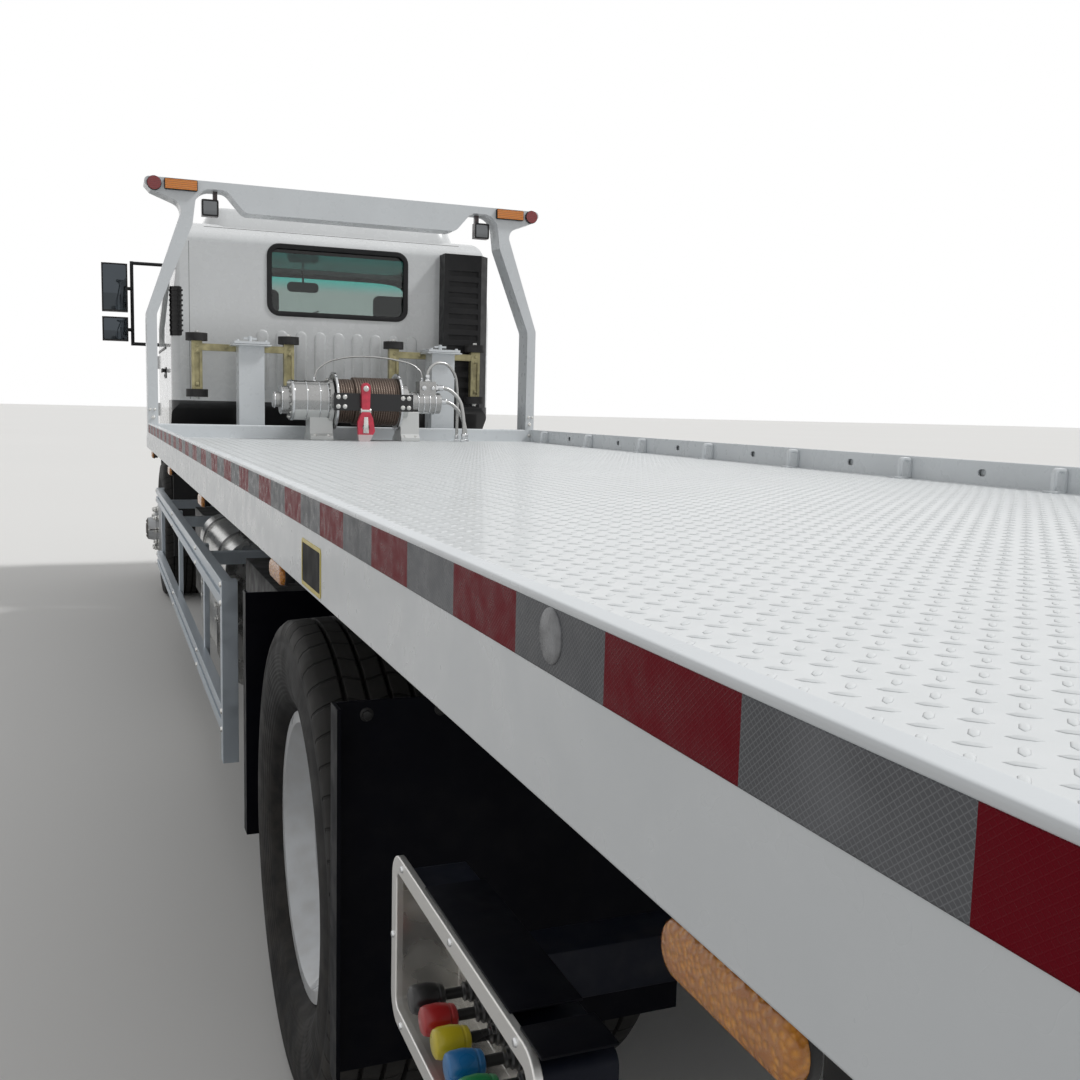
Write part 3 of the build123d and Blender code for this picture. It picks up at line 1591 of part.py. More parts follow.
def inset_rows(rows, inset):
    """A convex outline's rows with each edge moved inwards by the inset."""
    corners = [Vector(u, v) for u, v, _ in rows]
    area = sum(corners[k - 1].X * corners[k].Y - corners[k].X * corners[k - 1].Y for k in range(len(rows)))
    inwards = 90.0 if area > 0 else -90.0
    moved = []
    for k, (_, _, radius) in enumerate(rows):
        arriving = (corners[k] - corners[k - 1]).normalized().rotate(Axis.Z, inwards)
        leaving = (corners[(k + 1) % len(rows)] - corners[k]).normalized().rotate(Axis.Z, inwards)
        corner = corners[k] + (arriving + leaving) * (inset / (1.0 + arriving.dot(leaving)))
        moved.append((corner.X, corner.Y, max(radius - inset, 0.0)))
    return moved


def prism(plane, rows, inset, depth):
    """The outline, moved inwards by the inset and run depth along the plane's normal."""
    with BuildPart() as solid:
        with BuildSketch(plane):
            with BuildLine():
                outline(inset_rows(rows, inset))
            make_face()
        extrude(amount=depth)
    return solid.part


def cab_side_prism(rows, inset, x):
    """A prism across the cab between the two x, its rows given behind the cab's front."""
    placed = [(y_cab + u, v, radius) for u, v, radius in rows]
    return prism(Plane.YZ.offset(x[0]), placed, inset, x[1] - x[0])


def cab_envelope(inset):
    """The cab's rounded body, moved inwards by the inset on all sides."""
    side = cab_side_prism(cab_side_rows, inset, (-cab_width, cab_width))
    rear_rows = [*cab_rear_rows, *flipped(cab_rear_rows)]
    rear = prism(plane_xz(y_cab_back + 10.0), rear_rows, inset, cab_length + 20.0)
    plan_rows = [(u, y_cab + v, radius) for u, v, radius in cab_plan_rows]
    plan_rows = [*plan_rows, *flipped(plan_rows)]
    plan = prism(Plane.XY.offset(cab_floor - 10.0), plan_rows, inset, cab_height)
    return side & rear & plan


door_bottom = cab_floor + cab_wall + door_gap + 2.0
door_rows = (
    (190.0, door_bottom, 40.0),
    (190.0, 1620.0, 120.0),
    (380.0, 2215.0, 80.0),
    (1130.0, 2215.0, 90.0),
    (1130.0, door_bottom, 60.0),
)
door_window_rows = (
    (275.0, 1640.0, 40.0),
    (430.0, 2140.0, 50.0),
    (1060.0, 2140.0, 60.0),
    (1060.0, 1600.0, 50.0),
)
windscreen_rows = ((860.0, 1600.0, 90.0), (800.0, 2200.0, 90.0))
rear_window_rows = ((425.0, 1805.0, 60.0), (425.0, 2212.0, 60.0))
windscreen_depth = 420.0
envelope = cab_envelope(0.0)
wall = envelope - cab_envelope(cab_wall)
glazing = cab_envelope(glass_inset) - cab_envelope(glass_inset + glass_thickness)


def windscreen_prism(rows, inset, y_back, depth):
    """A prism through a front or rear opening, running forwards from y_back."""
    return prism(plane_xz(y_back), [*rows, *flipped(rows)], inset, depth)


# Door hinges: three knuckles on a pin in the front shut line. Rows are a barrel's bottom and top
door_hinge_x = cab_width / 2
door_hinge_y = y_cab + 190.0
door_pin_radius = 7.0
door_knuckle_radius = 13.0
door_knuckle_room = 15.0
door_hinge_rows = ((1150.0, 1240.0), (1480.0, 1570.0))


def middle_third(low, high):
    """The span of a hinge barrel's middle knuckle, which is the door's."""
    third = (high - low) / 3
    return low + third, high - third


def shell_knuckles(side, low, high):
    """The cab's two knuckles of one door hinge, their leaves and the pin."""
    door_z = middle_third(low, high)
    with BuildPart() as knuckles:
        bar_z(side * door_hinge_x, door_hinge_y, (low, high), door_pin_radius)
        for ends in ((low, door_z[0] - pin_gap), (door_z[1] + pin_gap, high)):
            bar_z(side * door_hinge_x, door_hinge_y, ends, door_knuckle_radius)
            with BuildSketch(Plane.XY.offset(ends[0])):
                with BuildLine():
                    Polyline(
                        (side * (door_hinge_x - 40.0), door_hinge_y - 40.0),
                        (side * (door_hinge_x - 21.0), door_hinge_y - 40.0),
                        (side * (door_hinge_x + 3.0), door_hinge_y - 7.0),
                        (side * (door_hinge_x - 10.0), door_hinge_y),
                        (side * (door_hinge_x - 40.0), door_hinge_y - 15.0),
                        close=True,
                    )
                make_face()
            extrude(amount=ends[1] - ends[0])
    return knuckles.part


front_opening = (y_cab + windscreen_depth, windscreen_depth + 30.0)
rear_opening = (y_cab_back + 10.0, 120.0)
cab_arm_y = (cab_hinge_y - 32.0, cab_hinge_y + 32.0)
with BuildPart() as cab_shell:
    add(wall)
    add(windscreen_prism(windscreen_rows, 0.0, *front_opening), mode=Mode.SUBTRACT)
    add(windscreen_prism(rear_window_rows, 0.0, *rear_opening), mode=Mode.SUBTRACT)
    add(cab_side_prism(door_rows, -door_gap, (-cab_width, -cab_width / 4)), mode=Mode.SUBTRACT)
    add(cab_side_prism(door_rows, -door_gap, (cab_width / 4, cab_width)), mode=Mode.SUBTRACT)
    for side in (-1, 1):
        arm_x = (side * cab_hinge_x - cab_arm_width / 2, side * cab_hinge_x + cab_arm_width / 2)
        block(arm_x, cab_arm_y, (cab_hinge_z, cab_floor + 10.0))
        bar_x(arm_x, cab_hinge_y, cab_hinge_z, 32.0)
        arm_bore = (arm_x[0] - 1.0, arm_x[1] + 1.0)
        bar_x(arm_bore, cab_hinge_y, cab_hinge_z, cab_pin_radius + pin_gap, mode=Mode.SUBTRACT)
        for low, high in door_hinge_rows:
            door_z = middle_third(low, high)
            room_z = (door_z[0] - 1.0, door_z[1] + 1.0)
            bar_z(side * door_hinge_x, door_hinge_y, room_z, door_knuckle_room, mode=Mode.SUBTRACT)
            add(shell_knuckles(side, low, high))
save(cab_shell.part, "cab_shell")

front_glass = glazing & windscreen_prism(windscreen_rows, pin_gap, *front_opening)
rear_glass = glazing & windscreen_prism(rear_window_rows, pin_gap, *rear_opening)
save(Compound(children=[*front_glass.solids(), *rear_glass.solids()]), "cab_glass")

for side, name in ((1, "left"), (-1, "right")):
    across = (cab_width / 4, cab_width) if side > 0 else (-cab_width, -cab_width / 4)
    with BuildPart() as door:
        add(wall & cab_side_prism(door_rows, 0.0, across))
        add(cab_side_prism(door_window_rows, 0.0, across), mode=Mode.SUBTRACT)
        hinge_x = side * door_hinge_x
        for low, high in door_hinge_rows:
            room_z = (low - 1.0, high + 1.0)
            bar_z(hinge_x, door_hinge_y, room_z, door_knuckle_room, mode=Mode.SUBTRACT)
            bar_z(hinge_x, door_hinge_y, middle_third(low, high), door_knuckle_radius)
            block(
                (side * (door_hinge_x - 15.0), side * (door_hinge_x + 4.0)),
                (door_hinge_y + 6.0, door_hinge_y + 55.0),
                middle_third(low, high),
            )
            bar_z(hinge_x, door_hinge_y, room_z, door_pin_radius + pin_gap, mode=Mode.SUBTRACT)
    save(door.part, f"door_{name}")
    door_glass = glazing & cab_side_prism(door_window_rows, pin_gap, across)
    save(door_glass, f"door_glass_{name}")

# Grille panel on the cab's front, with slots
grille_half = 640.0
grille_z = (1060.0, 1500.0)
grille_sheet = 22.0
grille_slot_count = 4
with BuildPart() as cab_front:
    with BuildSketch(plane_xz(y_cab + face_offset)):
        with Locations((0.0, sum(grille_z) / 2)):
            RectangleRounded(2 * grille_half, grille_z[1] - grille_z[0], 45.0)
            with GridLocations(0.0, 62.0, 1, grille_slot_count):
                RectangleRounded(2 * grille_half - 340.0, 26.0, 12.0, mode=Mode.SUBTRACT)
    extrude(amount=grille_sheet)
    add(cab_envelope(0.0), mode=Mode.SUBTRACT)
save(cab_front.part, "cab_front")

# Seats, dashboard and steering wheel, seen through the glass
seat_inner_floor = cab_floor + cab_wall
seat_y = (y_cab + 760.0, y_cab + 1280.0)
seat_rows = ((430.0, 270.0), (-430.0, 270.0), (-10.0, 130.0))
with BuildPart() as seats:
    for x_seat, half in seat_rows:
        block((x_seat - half + 30.0, x_seat + half - 30.0), seat_y, (seat_inner_floor, 1330.0))
        block((x_seat - half, x_seat + half), (seat_y[0] - 30.0, seat_y[1]), (1330.0, 1450.0))
        block((x_seat - half, x_seat + half), (seat_y[1] - 130.0, seat_y[1]), (1450.0, 1960.0))
    for x_seat, _ in seat_rows[:2]:
        block((x_seat - 130.0, x_seat + 130.0), (seat_y[1] - 120.0, seat_y[1] - 20.0), (1960.0, 2130.0))
    add(cab_envelope(cab_wall), mode=Mode.INTERSECT)
save(seats.part, "seats")

steering_place = (430.0, y_cab + 560.0, 1690.0)
with BuildPart() as dashboard:
    block((-940.0, 940.0), (y_cab + 60.0, y_cab + 420.0), (1330.0, 1590.0))
    add(cab_envelope(cab_wall), mode=Mode.INTERSECT)
    with BuildSketch(Plane(origin=(steering_place[0], y_cab + 300.0, 1500.0), z_dir=(0.0, 0.8, 0.6))):
        Circle(28.0)
    extrude(amount=315.0)
    with Locations(Plane(origin=(430.0, y_cab + 552.0, 1689.0), z_dir=(0.0, 0.8, 0.6))):
        Torus(210.0, 15.0)
        Box(420.0, 34.0, 22.0)
save(dashboard.part, "dashboard")

# Air intake behind the cab's right corner, with louvres
intake_x = (-955.0, -650.0)
intake_depth = 115.0
intake_z = (1260.0, 2225.0)
intake_chamfer = 60.0
louvre_count = 12
with BuildPart() as air_intake:
    with BuildSketch(Plane.XY.offset(intake_z[0])):
        with BuildLine():
            Polyline(
                (intake_x[1], y_cab_back - 20.0),
                (intake_x[1], y_cab_back + intake_depth),
                (intake_x[0] + intake_chamfer, y_cab_back + intake_depth),
                (intake_x[0], y_cab_back + intake_depth - intake_chamfer),
                (intake_x[0], y_cab_back - 20.0),
                close=True,
            )
        make_face()
    extrude(amount=intake_z[1] - intake_z[0])
    louvre_pitch = (intake_z[1] - intake_z[0] - 160.0) / louvre_count
    for k in range(louvre_count):
        z_louvre = intake_z[0] + 90.0 + k * louvre_pitch
        block(
            (intake_x[0] + intake_chamfer + 20.0, intake_x[1] - 30.0),
            (y_cab_back + intake_depth - 10.0, y_cab_back + intake_depth + 1.0),
            (z_louvre, z_louvre + louvre_pitch / 2),
            mode=Mode.SUBTRACT,
        )
    add(envelope, mode=Mode.SUBTRACT)
save(air_intake.part, "air_intake")

# Mirrors on arms ahead of the doors
mirror_x = (1200.0, 1370.0)
mirror_y = (y_cab + 120.0, y_cab + 200.0)
mirror_rows = ((1870.0, 2200.0), (1667.0, 1832.0))
mirror_arm_radius = 12.0
with BuildPart() as mirrors:
    for side in (-1, 1):
        mast_x = side * (mirror_x[0] - 30.0)
        mast_y = mirror_y[0] + 20.0
        bar_z(mast_x, mast_y, (1640.0, 2225.0), mirror_arm_radius)
        for z_arm in (1652.0, 2213.0):
            bar_x((side * 850.0, mast_x), mast_y, z_arm, mirror_arm_radius)
        for low, high in mirror_rows:
            with Locations((side * sum(mirror_x) / 2, sum(mirror_y) / 2, (low + high) / 2)):
                Box(mirror_x[1] - mirror_x[0], mirror_y[1] - mirror_y[0], high - low)
            bar_x((mast_x, side * (mirror_x[0] + 5.0)), mast_y, (low + high) / 2, mirror_arm_radius)
    add(envelope, mode=Mode.SUBTRACT)
save(mirrors.part, "mirrors")
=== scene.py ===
"""Dresses the flatbed tow truck: finishes, tread plate, tape, tyres, bolts, lamps and light.

Metres throughout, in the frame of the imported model: +Z up, the cab faces -Y and +X is the
driver's side.
"""

import json
import logging
import math
from dataclasses import dataclass, replace
from enum import Enum
from typing import Iterable, Sequence

import bmesh
import bpy
from mathutils import Matrix, Vector

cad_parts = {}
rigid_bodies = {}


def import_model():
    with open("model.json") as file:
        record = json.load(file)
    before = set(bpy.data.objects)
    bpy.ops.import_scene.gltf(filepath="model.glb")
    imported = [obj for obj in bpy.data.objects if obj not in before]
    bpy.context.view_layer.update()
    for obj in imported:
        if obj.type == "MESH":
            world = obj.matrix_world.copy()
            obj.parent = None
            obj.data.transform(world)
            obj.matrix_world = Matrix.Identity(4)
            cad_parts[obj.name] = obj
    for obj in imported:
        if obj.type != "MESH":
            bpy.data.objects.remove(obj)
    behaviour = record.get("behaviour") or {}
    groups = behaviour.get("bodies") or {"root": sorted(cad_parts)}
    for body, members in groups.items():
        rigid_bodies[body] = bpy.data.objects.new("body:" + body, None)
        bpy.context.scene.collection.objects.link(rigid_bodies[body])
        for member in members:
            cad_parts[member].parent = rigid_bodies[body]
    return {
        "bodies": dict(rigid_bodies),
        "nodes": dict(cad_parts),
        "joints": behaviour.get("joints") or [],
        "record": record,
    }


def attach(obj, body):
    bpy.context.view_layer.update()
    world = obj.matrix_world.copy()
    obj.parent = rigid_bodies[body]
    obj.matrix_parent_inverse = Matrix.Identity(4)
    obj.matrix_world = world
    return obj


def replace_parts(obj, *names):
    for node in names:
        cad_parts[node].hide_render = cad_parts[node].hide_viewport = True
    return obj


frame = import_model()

log = logging.getLogger("tow_truck")

Colour = tuple[float, float, float]
Point = tuple[float, float, float]
Span = tuple[float, float]

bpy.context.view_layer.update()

# Places that several sub-assemblies share, as in the part's source
DECK_TOP = 1.053
CURB_TOP = 1.128
CURB_Y = -2.2535
TAIL_Y = 4.3465
HALF_DECK = 1.155
REAR_AXLE_Y = 2.4135
FRONT_AXLE_Y = -3.2365
AXLE_Z = 0.433
CAB_FRONT_Y = -4.2935
CAB_BACK_Y = -2.6835
WINCH_Y = -2.0535
WINCH_Z = 1.278


class Axis(Enum):
    """The truck's own axes."""

    X = Vector((1.0, 0.0, 0.0))
    Y = Vector((0.0, 1.0, 0.0))
    Z = Vector((0.0, 0.0, 1.0))

    @property
    def index(self) -> int:
        """The axis's place among a point's three parts."""
        return next(k for k in range(3) if self.value[k])

    @property
    def across(self) -> Vector:
        """The direction square to the axis that its turns start from."""
        return Axis.X.value if self is Axis.Z else Axis.Z.value


# Shader building


class Graph:
    """A node tree with short calls that add nodes and join them."""

    def __init__(self, tree: bpy.types.NodeTree) -> None:
        """Keeps the tree that the nodes go into.

        Args:
            tree: A material's or a group's node tree.
        """
        self.tree = tree

    def node(self, kind: str, **settings: object) -> bpy.types.Node:
        """Adds a node.

        Args:
            kind: The node's type, without the ShaderNode in front.
            **settings: Attributes of the node to set.

        Returns:
            The new node.
        """
        made = self.tree.nodes.new("ShaderNode" + kind)
        for key, value in settings.items():
            setattr(made, key, value)
        return made

    def feed(self, socket: bpy.types.NodeSocket, value: object) -> None:
        """Links a socket to another, or sets its plain value.

        Args:
            socket: The input.
            value: An output socket, a number or a tuple.
        """
        if isinstance(value, bpy.types.NodeSocket):
            self.tree.links.new(value, socket)
        elif isinstance(value, tuple) and len(value) == 3 and socket.type == "RGBA":
            socket.default_value = (*value, 1.0)
        else:
            socket.default_value = value

    def position(self) -> bpy.types.NodeSocket:
        """The place on the object, in the truck's own frame."""
        return self.node("TexCoord").outputs["Object"]

    def split(self, vector: bpy.types.NodeSocket) -> list[bpy.types.NodeSocket]:
        """The three parts of a vector."""
        made = self.node("SeparateXYZ")
        self.feed(made.inputs[0], vector)
        return list(made.outputs)

    def math(self, operation: str, *values: object) -> bpy.types.NodeSocket:
        """One step of arithmetic.

        Args:
            operation: The Math node's operation.
            *values: One to three numbers or sockets.

        Returns:
            The result's socket.
        """
        made = self.node("Math", operation=operation)
        for socket, value in zip(made.inputs, values):
            self.feed(socket, value)
        return made.outputs[0]

    def product(self, *values: object) -> bpy.types.NodeSocket:
        """All the values multiplied with each other, in order."""
        made = values[0]
        for value in values[1:]:
            made = self.math("MULTIPLY", made, value)
        return made

    def scaled(self, vector: object, factors: Point) -> bpy.types.NodeSocket:
        """The vector with each part multiplied by its own factor."""
        made = self.node("VectorMath", operation="MULTIPLY")
        self.feed(made.inputs[0], vector)
        made.inputs[1].default_value = factors
        return made.outputs[0]

    def mix(self, factor: object, first: object, second: object) -> bpy.types.NodeSocket:
        """A colour between two, by the factor."""
        made = self.node("Mix", data_type="RGBA")
        self.feed(made.inputs[0], factor)
        self.feed(made.inputs[6], first)
        self.feed(made.inputs[7], second)
        return made.outputs[2]

    def noise(self, vector: object, scale: float, detail: float = 3.0) -> bpy.types.NodeSocket:
        """A noise value around one half."""
        made = self.node("TexNoise")
        self.feed(made.inputs["Vector"], vector)
        made.inputs["Scale"].default_value = scale
        made.inputs["Detail"].default_value = detail
        return made.outputs[0]

    def ramp(
        self, value: object, low: float, high: float, floor: float = 0.0, top: float = 1.0
    ) -> bpy.types.NodeSocket:
        """Maps low..high smoothly to floor..top.

        Args:
            value: The number that is mapped.
            low: Where the ramp starts.
            high: Where the ramp ends.
            floor: The result at and before the start.
            top: The result at and past the end.

        Returns:
            The mapped number's socket.
        """
        made = self.node("MapRange", interpolation_type="SMOOTHSTEP")
        for socket, item in zip(made.inputs, (value, low, high, floor, top)):
            self.feed(socket, item)
        return made.outputs[0]

    def group(self, name: str, **inputs: object) -> bpy.types.Node:
        """Places a shared effect.

        Args:
            name: The effect's name.
            **inputs: Its inputs, with an underscore for each space.

        Returns:
            The group's node.
        """
        made = self.node("Group")
        made.node_tree = EFFECTS.tree(name)
        for key, value in inputs.items():
            self.feed(made.inputs[key.replace("_", " ")], value)
        return made


class Effects:
    """The shared effects, each a node group that is built when it is first used."""

    def __init__(self) -> None:
        """Starts with no group built."""
        self.built: dict[str, bpy.types.NodeTree] = {}

    def tree(self, name: str) -> bpy.types.NodeTree:
        """The group of that name.

        Args:
            name: One of the effects' names.

        Returns:
            The node group, built once.
        """
        if name not in self.built:
            self.built[name] = getattr(self, "build_" + name.replace(" ", "_"))()
        return self.built[name]

    def start(self, name: str, inputs: Sequence[tuple[str, float]], outputs: Sequence[tuple[str, str]]) -> tuple:
        """Opens a group with its sockets.

        Args:
            name: The group's name.
            inputs: Each input's name and its first value.
            outputs: Each output's name and socket type.

        Returns:
            The graph, the group's input node and its output node.
        """
        tree = bpy.data.node_groups.new(name, "ShaderNodeTree")
        for label, value in inputs:
            socket = tree.interface.new_socket(label, in_out="INPUT", socket_type="NodeSocketFloat")
            socket.default_value = value
        for label, kind in outputs:
            tree.interface.new_socket(label, in_out="OUTPUT", socket_type=kind)
        graph = Graph(tree)
        return graph, tree.nodes.new("NodeGroupInput"), tree.nodes.new("NodeGroupOutput")

    def build_edges(self) -> bpy.types.NodeTree:
        """Rounded edges and a mask of them, from normals averaged over a radius."""
        graph, given, made = self.start(
            "edges", [("Radius", 0.002)], [("Mask", "NodeSocketFloat"), ("Normal", "NodeSocketVector")]
        )
        rounded = graph.node("Bevel", samples=6)
        graph.feed(rounded.inputs["Radius"], given.outputs["Radius"])
        dot = graph.node("VectorMath", operation="DOT_PRODUCT")
        graph.feed(dot.inputs[0], rounded.outputs[0])
        graph.feed(dot.inputs[1], graph.node("NewGeometry").outputs["Normal"])
        bent = graph.math("SUBTRACT", 1.0, dot.outputs["Value"])
        graph.feed(made.inputs["Mask"], graph.ramp(bent, 0.004, 0.12))
        graph.feed(made.inputs["Normal"], rounded.outputs[0])
        return graph.tree

    def build_grime(self) -> bpy.types.NodeTree:
        """Patches of road dust, thicker low down."""
        graph, given, made = self.start(
            "grime", [("Amount", 0.3), ("Reach", 0.9)], [("Mask", "NodeSocketFloat")]
        )
        place = graph.position()
        patches = graph.product(graph.noise(place, 2.3, 5.0), graph.noise(place, 31.0, 3.0))
        patches = graph.ramp(patches, 0.16, 0.42)
        low = graph.math("SUBTRACT", given.outputs["Reach"], graph.split(place)[2])
        low = graph.ramp(graph.math("DIVIDE", low, given.outputs["Reach"]), 0.0, 1.0, 0.25, 1.0)
        mask = graph.product(patches, low, given.outputs["Amount"])
        graph.feed(made.inputs["Mask"], graph.math("MINIMUM", mask, 1.0))
        return graph.tree

    def build_cells(self) -> bpy.types.NodeTree:
        """The fine lattice of reflecting cells in tape and lenses, over Y and Z."""
        graph, given, made = self.start(
            "cells",
            [("Pitch", 0.004), ("Height", 0.0002)],
            [("Mask", "NodeSocketFloat"), ("Height", "NodeSocketFloat")],
        )
        _, y, z = graph.split(graph.position())
        edges = []
        for operation in ("ADD", "SUBTRACT"):
            turned = graph.math(operation, y, graph.product(z, 1.2))
            cells = graph.math("DIVIDE", turned, given.outputs["Pitch"])
            share = graph.math("FRACT", graph.math("ADD", cells, 5000.0))
            edges.append(graph.math("ABSOLUTE", graph.math("SUBTRACT", share, 0.5)))
        ridge = graph.ramp(graph.math("MAXIMUM", edges[0], edges[1]), 0.34, 0.5)
        graph.feed(made.inputs["Mask"], ridge)
        graph.feed(made.inputs["Height"], graph.product(ridge, given.outputs["Height"]))
        return graph.tree


EFFECTS = Effects()


@dataclass(frozen=True)
class Zone:
    """A box of the truck in which a node has another finish, on both sides alike."""

    colour: Colour
    x: Span | None = None
    y: Span | None = None
    z: Span | None = None
    roughness: float | None = None
    metallic: float | None = None

    def mask(self, graph: Graph) -> bpy.types.NodeSocket:
        """One inside the zone and nought outside.

        Args:
            graph: The material's graph.

        Returns:
            The mask's socket.
        """
        parts = graph.split(graph.position())
        parts[0] = graph.math("ABSOLUTE", parts[0])
        mask: object = None
        for part, span in zip(parts, (self.x, self.y, self.z)):
            if span is None:
                continue
            for operation, limit in (("GREATER_THAN", span[0]), ("LESS_THAN", span[1])):
                step = graph.math(operation, part, limit)
                mask = step if mask is None else graph.product(mask, step)
        return mask


@dataclass(frozen=True)
class Finish:
    """One finish: its colour, its gloss, its fine relief and its wear."""

    name: str
    colour: Colour
    roughness: float = 0.4
    metallic: float = 0.0
    coat: float = 0.0
    coat_roughness: float = 0.06
    specular: float = 0.5
    relief: float = 0.0
    relief_scale: float = 300.0
    stretch: Point = (1.0, 1.0, 1.0)
    mottle: float = 0.05
    mottle_scale: float = 4.0
    uneven: float = 0.08
    dust: float = 0.0
    dust_colour: Colour = (0.33, 0.29, 0.24)
    dust_reach: float = 1.3
    edge: float = 0.0
    edge_colour: Colour = (0.4, 0.4, 0.4)
    edge_radius: float = 0.002
    zones: tuple[Zone, ...] = ()

    def pattern(self, graph: Graph, colour: object) -> tuple[object, object]:
        """A pattern of the finish's own.

        Args:
            graph: The material's graph.
            colour: The colour below the pattern.

        Returns:
            The patterned colour, and a height in metres or None.
        """
        return colour, None

    def tune(self, graph: Graph, shader: bpy.types.Node) -> None:
        """Sets what only this kind of finish has, on the shader's own sockets."""

    def material(self) -> bpy.types.Material:
        """Builds the material, or finds it where it is built.

        Returns:
            The material.
        """
        if self.name in bpy.data.materials:
            return bpy.data.materials[self.name]
        made = bpy.data.materials.new(self.name)
        made.use_nodes = True
        made.diffuse_color = (*self.colour, 1.0)
        graph = Graph(made.node_tree)
        shader = made.node_tree.nodes["Principled BSDF"]
        place = graph.scaled(graph.position(), self.stretch)

        broad = graph.noise(place, self.mottle_scale, 4.0)
        dark = tuple(part * (1.0 - self.mottle) for part in self.colour)
        light = tuple(min(part * (1.0 + self.mottle), 1.0) for part in self.colour)
        colour = graph.mix(graph.ramp(broad, 0.3, 0.7), dark, light)
        roughness = graph.ramp(
            graph.noise(place, self.mottle_scale * 5.0, 2.0),
            0.3,
            0.7,
            max(self.roughness - self.uneven, 0.02),
            min(self.roughness + self.uneven, 1.0),
        )
        metallic: object = self.metallic
        for zone in self.zones:
            mask = zone.mask(graph)
            colour = graph.mix(mask, colour, zone.colour)
            if zone.roughness is not None:
                roughness = self.blend(graph, mask, roughness, zone.roughness)
            if zone.metallic is not None:
                metallic = self.blend(graph, mask, metallic, zone.metallic)
        colour, height = self.pattern(graph, colour)
        edges = graph.group("edges", Radius=self.edge_radius)
        if self.edge:
            chips = graph.ramp(graph.noise(graph.position(), 55.0, 4.0), 0.42, 0.62)
            worn = graph.product(edges.outputs["Mask"], chips, self.edge)
            colour = graph.mix(worn, colour, self.edge_colour)
        if self.dust:
            grime = graph.group("grime", Amount=self.dust, Reach=self.dust_reach)
            colour = graph.mix(grime.outputs["Mask"], colour, self.dust_colour)
            roughness = self.blend(graph, grime.outputs["Mask"], roughness, 0.85)
            if not isinstance(metallic, float) or metallic > 0.0:
                metallic = self.blend(graph, grime.outputs["Mask"], metallic, 0.0)
        if self.relief:
            fine = graph.product(graph.noise(place, self.relief_scale, 2.0), self.relief)
            height = fine if height is None else graph.math("ADD", height, fine)

        graph.feed(shader.inputs["Base Color"], colour)
        graph.feed(shader.inputs["Roughness"], roughness)
        graph.feed(shader.inputs["Metallic"], metallic)
        shader.inputs["Coat Weight"].default_value = self.coat
        shader.inputs["Coat Roughness"].default_value = self.coat_roughness
        shader.inputs["Specular IOR Level"].default_value = self.specular
        normal = edges.outputs["Normal"]
        if height is not None:
            bump = graph.node("Bump")
            bump.inputs["Distance"].default_value = 1.0
            graph.feed(bump.inputs["Height"], height)
            graph.feed(bump.inputs["Normal"], normal)
            normal = bump.outputs[0]
        graph.feed(shader.inputs["Normal"], normal)
        self.tune(graph, shader)
        return made

    @staticmethod
    def blend(graph: Graph, mask: object, first: object, second: object) -> bpy.types.NodeSocket:
        """A number between two, by the mask."""
        made = graph.node("Mix", data_type="FLOAT")
        for index, value in ((0, mask), (2, first), (3, second)):
            graph.feed(made.inputs[index], value)
        return made.outputs[0]


@dataclass(frozen=True)
class Tape(Finish):
    """Reflecting tape in red and silver blocks along Y."""

    block: float = 0.15
    start: float = 3.817
    red: Colour = (0.15, 0.002, 0.009)
    silver_cells: Colour = (0.34, 0.35, 0.365)
    red_cells: Colour = (0.24, 0.01, 0.02)

    def pattern(self, graph: Graph, colour: object) -> tuple[object, object]:
        """Blocks of two colours, with the cells' fine lattice over them."""
        _, y, _ = graph.split(graph.position())
        along = graph.math("SUBTRACT", y, self.start - 60.0 * self.block)
        share = graph.math("DIVIDE", along, 2.0 * self.block)
        is_red = graph.math("LESS_THAN", graph.math("FRACT", share), 0.5)
        cells = graph.group("cells", Pitch=0.0045, Height=0.00012)
        silver = graph.mix(graph.product(cells.outputs["Mask"], 0.4), colour, self.silver_cells)
        red = graph.mix(graph.product(cells.outputs["Mask"], 0.12), self.red, self.red_cells)
        return graph.mix(is_red, silver, red), cells.outputs["Height"]


@dataclass(frozen=True)
class Lens(Finish):
    """A coloured lamp lens with a lattice of small prisms behind it."""

    pitch: float = 0.009
    glow: float = 0.25

    def pattern(self, graph: Graph, colour: object) -> tuple[object, object]:
        """Darker seams between the prisms."""
        cells = graph.group("cells", Pitch=self.pitch, Height=0.0005)
        deep = tuple(part * 0.55 for part in self.colour)
        return graph.mix(graph.product(cells.outputs["Mask"], 0.6), colour, deep), cells.outputs["Height"]

    def tune(self, graph: Graph, shader: bpy.types.Node) -> None:
        """A little light passes through the lens."""
        shader.inputs["Subsurface Weight"].default_value = self.glow
        shader.inputs["Subsurface Radius"].default_value = (0.01, 0.005, 0.002)
        shader.inputs["Subsurface Scale"].default_value = 0.5


@dataclass(frozen=True)
class HammeredLens(Lens):
    """An amber lens with a hammered back, seen as small bright and dark facets."""

    glow: float = 0.2
    facets: float = 240.0
    deep: Colour = (0.34, 0.1, 0.006)

    def pattern(self, graph: Graph, colour: object) -> tuple[object, object]:
        """Small facets of bright and deep amber, with a dimpled height."""
        made = graph.node("TexVoronoi", feature="SMOOTH_F1")
        graph.feed(made.inputs["Vector"], graph.position())
        made.inputs["Scale"].default_value = self.facets
        made.inputs["Smoothness"].default_value = 0.4
        near = graph.ramp(made.outputs["Distance"], 0.1, 0.75)
        broad = graph.ramp(graph.noise(graph.position(), 28.0, 2.0), 0.35, 0.65)
        shade = graph.math("ADD", graph.product(near, 0.65), graph.product(broad, 0.2))
        return graph.mix(shade, colour, self.deep), graph.product(near, 0.0009)


